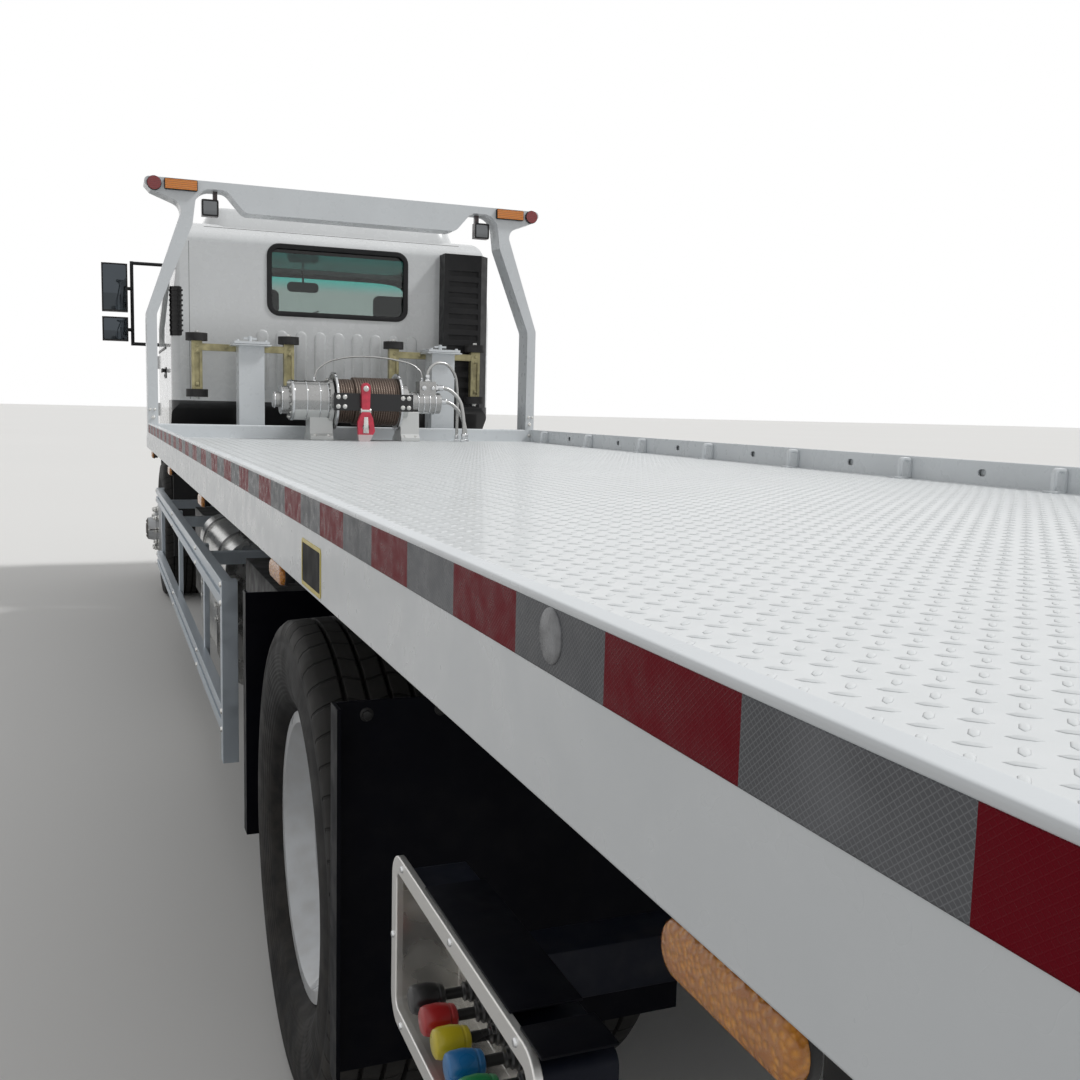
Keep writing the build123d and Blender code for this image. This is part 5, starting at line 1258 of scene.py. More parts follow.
@dataclass
class Deck:
    """The deck's tread plate, its side tape and its blank label."""

    pitch: float = 0.042
    lens_length: float = 0.0262
    lens_width: float = 0.0086
    lens_height: float = 0.0017
    tread_half: float = 1.128
    tread_y: Span = (CURB_Y + 0.006, TAIL_Y - 0.012)
    tread_inset: float = 0.016
    tape_z: Span = (1.078, 1.1225)
    tape_sheet: float = 0.0006
    tape_length: Span = (CURB_Y + 0.02, TAIL_Y - 0.11)
    label_y: Span = (2.774, 2.922)
    label_z: Span = (0.992, 1.06)
    label_depth: float = 0.0008
    label_rim: float = 0.005
    patch: Point = (HALF_DECK, 3.7335, 1.1035)
    sunk: float = 0.0002

    def build(self) -> None:
        """Builds the deck's pieces."""
        self.build_tread()
        self.build_tape()
        self.build_label()

    def lens(self, shape: Shape, middle: Point, turn: float) -> None:
        """One raised lens of the tread: six corners round a short ridge.

        Args:
            shape: The shape that it goes into.
            middle: Its middle, on the plate.
            turn: The angle of its length from X.
        """
        half, side = self.lens_length / 2, self.lens_width / 2
        waist, top = half * 0.45, half * 0.42
        rim = ((half, 0.0), (waist, side), (-waist, side), (-half, 0.0), (-waist, -side), (waist, -side))
        rotate = Matrix.Translation(middle) @ Matrix.Rotation(turn, 4, "Z")
        foot = [shape.mesh.verts.new(rotate @ Vector((u, v, -self.sunk))) for u, v in rim]
        ridge = [shape.mesh.verts.new(rotate @ Vector((u, 0.0, self.lens_height))) for u in (top, -top)]
        shape.mesh.faces.new(foot[::-1])
        for corners in (
            (foot[0], foot[1], ridge[0]),
            (foot[1], foot[2], ridge[1], ridge[0]),
            (foot[2], foot[3], ridge[1]),
            (foot[3], foot[4], ridge[1]),
            (foot[4], foot[5], ridge[0], ridge[1]),
            (foot[5], foot[0], ridge[0]),
        ):
            shape.mesh.faces.new(corners)

    def build_tread(self) -> None:
        """Two fields of lenses, one behind the other, over the whole plate."""
        columns = int(2 * self.tread_half / self.pitch)
        rows = int((self.tread_y[1] - self.tread_y[0]) / self.pitch)
        half = rows // 2
        x_first = -(columns - 0.5) / 2 * self.pitch
        for name, first, count in (("front", 0, half), ("rear", half, rows - half)):
            shape = Shape()
            y_first = self.tread_y[0] + self.tread_inset + first * self.pitch
            self.lens(shape, (x_first, y_first, DECK_TOP), math.radians(45.0))
            self.lens(shape, (x_first + self.pitch / 2, y_first + self.pitch / 2, DECK_TOP), math.radians(-45.0))
            shape.repeat(columns, (self.pitch, 0.0, 0.0)).repeat(count, (0.0, self.pitch, 0.0))
            shape.piece(f"tread_{name}", "deck", FINISHES["deck_white"], "deck_white", smooth=50.0)

    def build_tape(self) -> None:
        """A strip of tape along each side rail."""
        low = (HALF_DECK - self.sunk, self.tape_length[0], self.tape_z[0])
        high = (HALF_DECK + self.tape_sheet, self.tape_length[1], self.tape_z[1])
        Shape().block(low, high).mirrored().piece("side_tape", "deck", REFLECTING_TAPE)

    def build_label(self) -> None:
        """A blank label of black with a yellow border, and a small round patch on the tape."""
        low = (HALF_DECK - self.sunk, self.label_y[0], self.label_z[0])
        high = (HALF_DECK + self.label_depth, self.label_y[1], self.label_z[1])
        Shape().frame(low, high, Axis.X, 0.006, 0.007).piece("label_border", "deck", LABEL_YELLOW)
        inner_low = (low[0], low[1] + self.label_rim, low[2] + self.label_rim)
        inner_high = (high[0] - 0.0003, high[1] - self.label_rim, high[2] - self.label_rim)
        Shape().block(inner_low, inner_high).piece("label_blank", "deck", LABEL_BLACK)
        face = (self.patch[0] + 0.0016, *self.patch[1:])
        Shape().rod(self.patch, face, 0.019, 32, edge=0.0007).piece("tape_patch", "deck", ROUND_PATCH)


@dataclass
class SideRails:
    """The side rails, with a sharper fold and a shorter taper at the tail than their solids."""

    fold: Span = (0.009, 0.003)
    taper: Span = (0.7, 0.25)
    rail_bottom: float = 0.988
    tail_rise: float = 0.035
    slope_start: Span = (TAIL_Y - 0.15, CURB_TOP + 0.001)
    slope_end: Span = (TAIL_Y + 0.001, DECK_TOP + 0.012)
    inner_lip: float = 1.135
    flat_from: float = 0.0055
    slack: float = 1e-4
    near: float = 4e-4

    def build(self) -> None:
        """Builds both rails from a merged copy of their node's mesh."""
        shape = Shape()
        shape.mesh.from_mesh(frame["nodes"]["side_rails"].data)
        bmesh.ops.remove_doubles(shape.mesh, verts=shape.mesh.verts[:], dist=1e-5)
        for vert in shape.mesh.verts:
            self.shorten(vert.co)
            self.sharpen(vert.co)
        rails = shape.piece("folded_rails", "deck", FINISHES["white_paint"], "white_paint", smooth=25.0)
        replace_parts(rails, "side_rails")

    def shorten(self, point: Vector) -> None:
        """Moves a point of the tapered underside towards the tail."""
        start = TAIL_Y - self.taper[0]
        if point.y < start - self.slack:
            return
        line = self.rail_bottom + (point.y - start) / self.taper[0] * self.tail_rise
        if abs(point.z - line) < self.near:
            point.y = TAIL_Y - (TAIL_Y - point.y) * self.taper[1] / self.taper[0]

    def sharpen(self, point: Vector) -> None:
        """Draws a point of the curb's round folds in towards their corner."""
        reach = self.fold[0] + self.slack
        start_y, start_z = self.slope_start
        slope = (self.slope_end[1] - start_z) / (self.slope_end[0] - start_y)
        share = self.fold[1] / self.fold[0]
        side = 1.0 if point.x > 0.0 else -1.0
        for corner, way in ((HALF_DECK, -1.0), (self.inner_lip, 1.0)):
            off, down = (abs(point.x) - corner) * way, CURB_TOP - point.z
            if not (-self.slack < off < reach and -self.slack < down < reach) or min(off, down) > self.flat_from:
                continue
            on_slope = point.y > start_y and abs(start_z + (point.y - start_y) * slope - point.z) < self.near
            point.x = side * (corner + way * off * share)
            point.z = CURB_TOP - down * share
            if on_slope:
                point.y = start_y + (point.z - start_z) / slope
            return


@dataclass
class LashingRings:
    """Ten bows along each curb: the left ones lean down, the right ones stand."""

    first: float = CURB_Y + 0.301
    pitch: float = 0.6574
    count: int = 10
    bar: float = 0.013
    reach: float = 0.052
    inner_lip: float = 1.135
    top: float = CURB_TOP - 0.004
    lean: float = 0.026

    def build(self) -> None:
        """Builds both rows."""
        shape = Shape()
        for side, lean in ((1.0, self.lean), (-1.0, 0.0)):
            row = Shape()
            self.bow(row, side, lean)
            shape.take(row.repeat(self.count, (0.0, self.pitch, 0.0)))
        rings = shape.piece("lashing_bows", "deck", FINISHES["white_paint"], "white_paint", smooth=40.0)
        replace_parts(rings, "lashing_rings")

    def bow(self, shape: Shape, side: float, lean: float) -> None:
        """One bow with its foot plate.

        Args:
            shape: The shape that it goes into.
            side: One on the left, minus one on the right.
            lean: How far its inner end lies below its outer one.
        """
        tip = self.inner_lip - self.reach
        tip_top = self.top - lean
        rows = (
            (self.inner_lip + 0.0005, DECK_TOP, 0.0),
            (self.inner_lip + 0.0005, self.top, 0.018),
            (tip, tip_top, 0.018),
            (tip, DECK_TOP, 0.0),
            (tip + self.bar, DECK_TOP, 0.0),
            (tip + self.bar, tip_top - self.bar, 0.008),
            (self.inner_lip - self.bar, self.top - self.bar, 0.008),
            (self.inner_lip - self.bar, DECK_TOP, 0.0),
        )
        outline = [((side * x, self.first - self.bar / 2, z), radius) for x, z, radius in rows]
        shape.plate(outline, (0.0, self.bar, 0.0), self.bar * 0.28)
        low = (side * (tip - 0.012), self.first - 0.025, DECK_TOP - 0.0005)
        high = (side * (tip + 0.024), self.first + 0.025, DECK_TOP + 0.006)
        shape.block(low, high, 0.002)


@dataclass
class MarkerLamps:
    """Amber marker lamps under each side rail: a round-ended lens on a black base."""

    places: tuple[float, ...] = tuple(TAIL_Y - behind for behind in (0.399, 1.889, 3.379, 4.869, 6.359))
    lens_x: float = 1.138
    half: float = 0.065
    z: Span = (0.947, 0.981)
    corner: float = 0.0165
    margin: float = 0.0012
    rail_bottom: float = 0.988
    crown: tuple[Span, ...] = (
        (0.0, 0.0),
        (0.0062, 0.0),
        (0.0085, 0.0008),
        (0.0103, 0.0028),
        (0.0113, 0.006),
        (0.0115, 0.011),
    )

    def build(self) -> None:
        """Builds the lenses and their bases."""
        lenses, bases = Shape(), Shape()
        x = self.lens_x
        rows = [(x + out, inset) for out, inset in self.crown]
        for y in self.places:
            lenses.loft((0.0, y - self.half, self.z[0]), (0.0, y + self.half, self.z[1]), Axis.X, self.corner, rows)
            bases.block((1.12, y - 0.048, self.z[0] + 0.002), (x + 0.001, y + 0.048, self.rail_bottom), 0.003)
            bases.loft(
                (0.0, y - self.half - self.margin, self.z[0] - self.margin),
                (0.0, y + self.half + self.margin, self.z[1] + self.margin),
                Axis.X,
                self.corner,
                ((x - 0.0035, 0.0), (x + 0.0018, 0.0), (x + 0.0022, 0.0006)),
            )
        lens = lenses.mirrored().piece("marker_lenses", "deck", FINISHES["lamp_amber"], "lamp_amber", smooth=50.0)
        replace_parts(lens, "side_markers")
        bases.mirrored().piece("marker_bases", "deck", BLACK_PARTS)


@dataclass
class ControlBox:
    """The control box on the left side: its shell, levers, screws and blank plates."""

    first_y: float = 3.2865
    pitch: float = 0.045
    lever_z: float = 0.611
    back_x: float = 1.049
    knob_x: Span = (1.088, 1.126)
    box_y: Span = (3.2035, 3.6535)
    box_z: Span = (0.553, 0.752)
    rod_radius: float = 0.006
    screw_radius: float = 0.0045
    screw_inset: float = 0.008
    screw_x: Span = (1.1255, 1.1282)
    top_plates: tuple[Span, ...] = ((3.322, 3.58), (3.604, 3.652))
    label_half: float = 0.017
    label_z: Span = (0.635, 0.672)
    boot: tuple[Span, ...] = (
        (0.0, 0.0),
        (0.0, 0.015),
        (0.004, 0.015),
        (0.006, 0.012),
        (0.01, 0.0125),
        (0.012, 0.0098),
        (0.016, 0.0102),
        (0.018, 0.0062),
        (0.018, 0.0),
    )
    colours: tuple[Colour, ...] = (
        BLACK,
        (0.42, 0.012, 0.014),
        (0.62, 0.5, 0.01),
        (0.008, 0.16, 0.42),
        (0.01, 0.24, 0.07),
        BLACK,
        (0.3, 0.3, 0.31),
    )

    def build(self) -> None:
        """Builds the box's pieces."""
        self.build_shell()
        self.build_levers()
        self.build_screws()
        self.build_plates()

    def build_shell(self) -> None:
        """A black box on its arm, its navy tint a painted reflection of the sky, with a brushed liner whose bright
        flange frames it.
        """
        low = (0.0, self.box_y[0], self.box_z[0])
        high = (0.0, self.box_y[1], self.box_z[1])
        shell = Shape()
        rows = ((1.0475, 0.0186), (1.119, 0.0186), (1.119, 0.016), (1.047, 0.016), (1.046, 0.017))
        shell.loft(low, high, Axis.X, 0.03, rows)
        shell.block((0.425, self.box_y[0] + 0.06, 0.598), (1.0465, self.box_y[0] + 0.12, 0.658), 0.003)
        shell.piece("control_shell", "chassis", BLACK_WITH_PAINTED_SKY_TINT)
        liner = Shape()
        rows = (
            (1.0465, 0.019),
            (1.118, 0.019),
            (1.118, 0.0006),
            (1.1186, 0.0),
            (1.1252, 0.0),
            (1.126, 0.0008),
            (1.126, 0.0192),
            (1.1252, 0.02),
            (1.0505, 0.02),
        )
        liner.loft(low, high, Axis.X, 0.03, rows)
        made = liner.piece("control_liner", "chassis", FINISHES["control_steel"], "control_steel")
        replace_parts(made, "control_box")

    def build_levers(self) -> None:
        """A black rod in a rubber boot for each valve, with a coloured barrel knob."""
        zones = []
        for number, colour in enumerate(self.colours):
            low, high = (self.first_y + (number + side) * self.pitch for side in (-0.5, 0.5))
            zones.append(Zone(colour, x=(self.knob_x[0] - 0.001, 1.2), y=(low, high)))
        finish = Finish(
            "lever knobs", BLACK, 0.32, coat=0.2, relief=0.00006, relief_scale=600.0, mottle=0.1, zones=tuple(zones)
        )
        shape = Shape()
        for number in range(len(self.colours)):
            y = self.first_y + number * self.pitch
            foot = (self.back_x, y, self.lever_z)
            shape.rod(foot, (self.knob_x[0] + 0.004, y, self.lever_z), self.rod_radius, 16)
            shape.lathe(self.boot, foot, Axis.X, 24)
            length = self.knob_x[1] - self.knob_x[0]
            knob = (
                (0.0, 0.0),
                (0.0, 0.0105),
                (0.0015, 0.0125),
                (0.006, 0.0138),
                (0.0065, 0.0132),
                (0.0085, 0.0132),
                (0.009, 0.0145),
                (length * 0.5, 0.0164),
                (length - 0.006, 0.0158),
                (length - 0.0015, 0.0142),
                (length, 0.0115),
                (length, 0.0),
            )
            shape.lathe(knob, (self.knob_x[0], y, self.lever_z), Axis.X, 32)
        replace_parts(shape.piece("levers", "chassis", finish, "black_plastic"), "control_levers")

    def build_screws(self) -> None:
        """Small round screws in the box's bright flange."""
        shape = Shape()
        inset = self.screw_inset
        columns = (self.box_y[0] + self.pitch, sum(self.box_y) / 2, self.box_y[1] - self.pitch)
        spots = [(y, z) for y in columns for z in (self.box_z[0] + inset, self.box_z[1] - inset)]
        spots += [(y, sum(self.box_z) / 2) for y in (self.box_y[0] + inset, self.box_y[1] - inset)]
        for y, z in spots:
            foot, top = ((x, y, z) for x in self.screw_x)
            shape.rod(foot, top, self.screw_radius, 16, tip=0.0032, edge=0.0004)
        shape.piece("control_screws", "chassis", CHROME)

    def build_plates(self) -> None:
        """Black guard plates on top of the box, and blank label plates behind the levers."""
        shape = Shape()
        for start, end in self.top_plates:
            shape.block((1.054, start, 0.7515), (1.121, end, 0.7545), 0.001)
        shape.piece("control_top_plates", "chassis", FINISHES["mud_rubber"], "mud_rubber")
        shape = Shape()
        for number in range(len(self.colours)):
            y = self.first_y + number * self.pitch
            low = (1.0495, y - self.label_half, self.label_z[0])
            shape.block(low, (1.0512, y + self.label_half, self.label_z[1]), 0.0005)
        shape.block((1.0495, self.box_y[0] + 0.06, 0.69), (1.051, self.box_y[1] - 0.06, 0.728), 0.0005)
        shape.piece("control_labels", "chassis", LABEL_PLATES)


@dataclass
class Winch:
    """The rope on the drum, and the bolts, covers and fittings of the winch."""

    pack_x: Span = (-0.203, 0.153)
    wrap: float = 0.0142
    outer: float = 0.138
    core: float = 0.0895
    second_end: float = 0.045
    second_step: float = 0.0115
    crown: float = 0.007
    rings: tuple[Point, ...] = (
        (0.2, 0.206, 0.1165),
        (0.245, 0.252, 0.1145),
        (0.318, 0.325, 0.1145),
        (0.39, 0.404, 0.1155),
        (0.452, 0.458, 0.082),
        (0.486, 0.494, 0.047),
    )
    beads: tuple[float, ...] = (-0.30, -0.335, -0.37, -0.405, -0.44)
    bead_width: float = 0.007
    rims: Span = (-0.2095, 0.1595)
    rim_half: float = 0.0068
    bolt_rings: tuple[tuple[float, float, float, int, float], ...] = (
        (0.195, 1.0, 0.1205, 16, 0.0052),
        (0.41, 1.0, 0.098, 12, 0.0068),
        (-0.263, -1.0, 0.085, 8, 0.0085),
        (-0.47, -1.0, 0.047, 4, 0.007),
    )
    tie_bolts_x: tuple[float, ...] = (-0.24, -0.205, 0.128, 0.165)
    tie_bolts_z: Span = (1.247, 1.3)
    foot_bolts_x: tuple[float, ...] = (0.2, 0.275, -0.31, -0.246)
    foot_bolts_y: Span = (-0.108, 0.07)
    motor_hoses: tuple[tuple[Point, float], ...] = (((-0.4403, 0.018, 0.315), 0.011), ((-0.4703, -0.02, 0.235), 0.011))
    upright_hoses: tuple[tuple[Point, float], ...] = (
        ((-0.4, -0.005, 0.3503), 0.009),
        ((-0.37, -0.02, 0.3503), 0.005),
        ((-0.618, 0.034, 0.0003), 0.011),
        ((-0.64, -0.004, 0.0003), 0.011),
        ((-0.606, -0.07, 0.0003), 0.009),
        ((0.262, -0.03, 0.3348), 0.005),
    )
    plugs: tuple[Point, ...] = (
        (-0.42, -0.046, 0.012),
        (-0.365, -0.046, 0.012),
        (-0.42, 0.046, 0.012),
        (-0.365, 0.046, 0.015),
    )
    plug_z: float = 1.365

    def build(self) -> None:
        """Builds the winch's pieces."""
        self.build_rope()
        self.build_covers()
        self.build_bolts()
        self.build_fittings()

    def build_rope(self) -> None:
        """Rows of wraps: a full layer, and a second one over most of the drum."""
        count = int((self.pack_x[1] - self.pack_x[0]) / self.wrap)
        width = (self.pack_x[1] - self.pack_x[0]) / count
        profile = [(self.pack_x[0], self.core)]
        for number in range(count):
            start = self.pack_x[0] + number * width
            layer = self.outer if start < self.second_end else self.outer - self.second_step
            for step in range(7):
                turn = math.pi * step / 6
                x = start + width * (0.5 - 0.5 * math.cos(turn))
                profile.append((x, layer - self.crown + self.crown * math.sin(turn)))
        profile.append((self.pack_x[1], self.core))
        shape = Shape()
        shape.lathe([*profile, profile[0]], (0.0, WINCH_Y, WINCH_Z), Axis.X, 72)
        rope = shape.piece("rope_wraps", "winch_drum", FINISHES["wire_rope"], "wire_rope", smooth=60.0)
        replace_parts(rope, "winch_rope")

    def build_covers(self) -> None:
        """Turned steps and beads over the gearbox and the motor, in bright metal."""
        shape = Shape()
        for start, end, radius in self.rings:
            self.band(shape, (start, end), radius - 0.014, radius, (0.002, 0.002), 64)
        for start in self.beads:
            self.band(shape, (start, start + self.bead_width), 0.05, 0.066, (0.0015, 0.0015), 48)
        shape.piece("winch_beads", "deck", CHROME)
        shape = Shape()
        for x in self.rims:
            self.band(shape, (x - self.rim_half, x + self.rim_half), 0.15, 0.1652, (0.0016, 0.002), 72)
        shape.piece("drum_rims", "winch_drum", CHROME)

    @staticmethod
    def band(shape: Shape, span: Span, inner: float, radius: float, lip: Span, steps: int) -> None:
        """One turned band round the winch's axle, with its two outer rims cut slantwise.

        Args:
            shape: The shape that it goes into.
            span: Where it starts and ends on X.
            inner: Its inner radius.
            radius: Its outer radius.
            lip: How much is cut, along X and in radius.
            steps: The steps of the full turn.
        """
        (start, end), (along, down) = span, lip
        profile = (
            (start, inner),
            (start, radius - down),
            (start + along, radius),
            (end - along, radius),
            (end, radius - down),
            (end, inner),
            (start, inner),
        )
        shape.lathe(profile, (0.0, WINCH_Y, WINCH_Z), Axis.X, steps)

    def build_bolts(self) -> None:
        """Bolts round the covers, in the tie bar and in the feet."""
        shape = Shape()
        for x, facing, circle, count, size in self.bolt_rings:
            shape.bolt_ring((x, WINCH_Y, WINCH_Z), Axis.X, facing, circle, count, size)
        for x in self.tie_bolts_x:
            for z in self.tie_bolts_z:
                shape.bolt((x, -1.8705, z), Axis.Y, 1.0, 0.0095)
        for x in self.foot_bolts_x:
            for y in self.foot_bolts_y:
                shape.bolt((x, WINCH_Y + y, DECK_TOP + 0.024), Axis.Z, 1.0, 0.0105)
        shape.piece("winch_bolts", "deck", BRIGHT_BOLT)

    def build_fittings(self) -> None:
        """Hexagon nuts and crimped sleeves at the hoses' ends, and plugs in the valve block."""
        shape = Shape()
        for ends, out in ((self.motor_hoses, -Axis.X.value), (self.upright_hoses, Axis.Z.value)):
            for (x, y, z), radius in ends:
                start = Vector((x, WINCH_Y + y, DECK_TOP + z))
                shape.rod(start, start + out * radius * 1.3, radius * 1.95, 6, edge=0.001)
                shape.rod(start + out * radius * 1.2, start + out * radius * 2.0, radius * 1.35, 20)
                shape.rod(start + out * radius * 1.9, start + out * radius * 4.4, radius * 1.5, 20, edge=0.0012)
        for x, y, size in self.plugs:
            seat = (x, WINCH_Y + y * 0.978, self.plug_z)
            shape.rod(seat, (x, WINCH_Y + y * 1.25, self.plug_z), size, 6, edge=0.001)
        shape.piece("hose_fittings", "deck", CHROME)
        plate = Shape().block((-0.43, WINCH_Y - 0.03, 1.4028), (-0.41, WINCH_Y + 0.03, 1.4045), 0.0005)
        plate.piece("valve_plate", "deck", VALVE_PLATE)


@dataclass
class Hook:
    """The tow hook's two pins and its latch."""

    x: float = 0.015
    front_y: float = -1.8405
    latch: tuple[Span, ...] = ((-0.016, 1.1), (0.016, 1.1), (0.011, 1.19), (-0.011, 1.19))

    def build(self) -> None:
        """Builds the latch and the two pins."""
        shape = Shape()
        shape.bolt((self.x, self.front_y, 1.349), Axis.Y, 1.0, 0.012)
        shape.rod((self.x - 0.03, -1.8555, 1.225), (self.x + 0.03, -1.8555, 1.225), 0.0165, 20, edge=0.002)
        corners = [(self.x + dx, self.front_y - 0.001, z) for dx, z in self.latch]
        shape.sheet(corners, (0.0, 0.0035, 0.0), 0.001)
        shape.piece("hook_fittings", "deck", BRIGHT_BOLT)


@dataclass
class Headboard:
    """Bezels, glasses and bolts of the lamps on the headboard."""

    back_y: float = CURB_Y
    end_x: float = 1.105
    end_z: float = 2.437
    amber_x: Span = (0.88, 1.048)
    amber_z: Span = (2.413, 2.465)
    work_x: Span = (0.76, 0.85)
    work_y: Span = (-2.3585, -2.3035)
    work_z: Span = (2.293, 2.383)
    depth: float = 0.0165
    end_rim: Span = (0.0345, 0.0385)
    fins: int = 6
    fin_pitch: float = 0.013
    post_bolts: tuple[Point, ...] = (
        (1.127, 1.09, 0.0085),
        (1.127, 1.16, 0.0085),
        (1.118, 1.205, 0.006),
        (1.143, 1.205, 0.006),
    )

    def build(self) -> None:
        """Builds the headboard's pieces."""
        self.build_bezels()
        self.build_work_lamps()
        self.build_bolts()

    def build_bezels(self) -> None:
        """Black rims round the red end lamps and the amber markers."""
        shape = Shape()
        (inner, outer), end = self.end_rim, self.depth
        profile = ((0.0, inner), (0.0, outer), (end - 0.002, outer), (end, 0.0375), (end, inner), (0.0, inner))
        shape.lathe(profile, (self.end_x, self.back_y, self.end_z), Axis.Y, 48)
        low = (self.amber_x[0] - 0.004, self.back_y, self.amber_z[0] - 0.004)
        high = (self.amber_x[1] + 0.004, self.back_y + self.depth, self.amber_z[1] + 0.004)
        shape.frame(low, high, Axis.Y, 0.0065, 0.008, 0.001)
        shape.mirrored()
        shape.piece("lamp_bezels", "deck", BLACK_PARTS)

    def build_work_lamps(self) -> None:
        """Cooling fins, a bezel and a glass on each work lamp."""
        shape = Shape()
        for number in range(self.fins):
            z = self.work_z[0] + 0.012 + number * self.fin_pitch
            low = (self.work_x[0] + 0.006, self.work_y[0] - 0.01, z)
            shape.block(low, (self.work_x[1] - 0.006, self.work_y[0] + 0.001, z + 0.005), 0.001)
        low = (self.work_x[0] - 0.001, self.work_y[1] - 0.001, self.work_z[0] - 0.001)
        high = (self.work_x[1] + 0.001, self.work_y[1] + 0.004, self.work_z[1] + 0.001)
        shape.frame(low, high, Axis.Y, 0.009, 0.012, 0.001)
        shape.mirrored()
        shape.piece("work_lamp_bezels", "deck", BLACK_PARTS)
        low = (self.work_x[0] + 0.007, self.work_y[1] - 0.001, self.work_z[0] + 0.007)
        high = (self.work_x[1] - 0.007, self.work_y[1] + 0.002, self.work_z[1] - 0.007)
        Shape().block(low, high, 0.001).mirrored().piece("work_lamp_glass", "deck", WORK_GLASS)

    def build_bolts(self) -> None:
        """Bolts that hold the posts and the lamps."""
        shape = Shape()
        for x, z, size in self.post_bolts:
            shape.bolt((x, self.back_y, z), Axis.Y, 1.0, size)
        shape.bolt((0.776, self.work_y[0] + 0.026, 2.431), Axis.Z, 1.0, 0.008)
        shape.mirrored()
        shape.piece("headboard_bolts", "deck", BRIGHT_BOLT)


@dataclass
class Dollies:
    """Bolts and hub caps of the folded dolly frames, and plates on their posts."""

    middles: tuple[float, float] = (0.606, -0.568)
    half: float = 0.265
    line_y: float = CURB_Y - 0.15 - 0.0725 - 0.02
    arm_z: Span = (DECK_TOP + 0.275, DECK_TOP + 0.555)
    posts: Span = (-0.578, 0.578)
    post_y: float = CURB_Y - 0.15
    bolt_off: Span = (-0.08, 0.08)

    def build(self) -> None:
        """Builds the dollies' pieces."""
        shape = Shape()
        caps = Shape()
        for middle in self.middles:
            for end in (-1.0, 1.0):
                x = middle + end * self.half
                for z in (self.arm_z[0] + 0.03, self.arm_z[1] - 0.03, self.arm_z[1] - 0.06):
                    shape.bolt((x, self.line_y + 0.0225, z), Axis.Y, 1.0, 0.0085)
                for z, way in ((self.arm_z[1] + 0.045, 1.0), (self.arm_z[0] - 0.045, -1.0)):
                    caps.bolt((x, self.line_y, z), Axis.Z, way, 0.014)
            for offset in (-0.1, 0.1):
                shape.bolt((middle + offset, self.line_y + 0.0195, DECK_TOP + 0.52), Axis.Y, 1.0, 0.0085)
        shape.piece("dolly_bolts", "deck", FINISHES["gold_plate"], "gold_plate")
        caps.piece("dolly_hub_bolts", "deck", BRIGHT_BOLT)
        posts = Shape()
        for x in self.posts:
            for dx in self.bolt_off:
                for dy in self.bolt_off:
                    posts.bolt((x + dx, self.post_y + dy, DECK_TOP + 0.555), Axis.Z, 1.0, 0.009)
            low = (x - 0.11, self.post_y - 0.11, DECK_TOP + 0.53)
            posts.block(low, (x + 0.11, self.post_y + 0.11, DECK_TOP + 0.537), 0.002)
        posts.piece("post_plates", "deck", FINISHES["white_paint"], "white_paint")


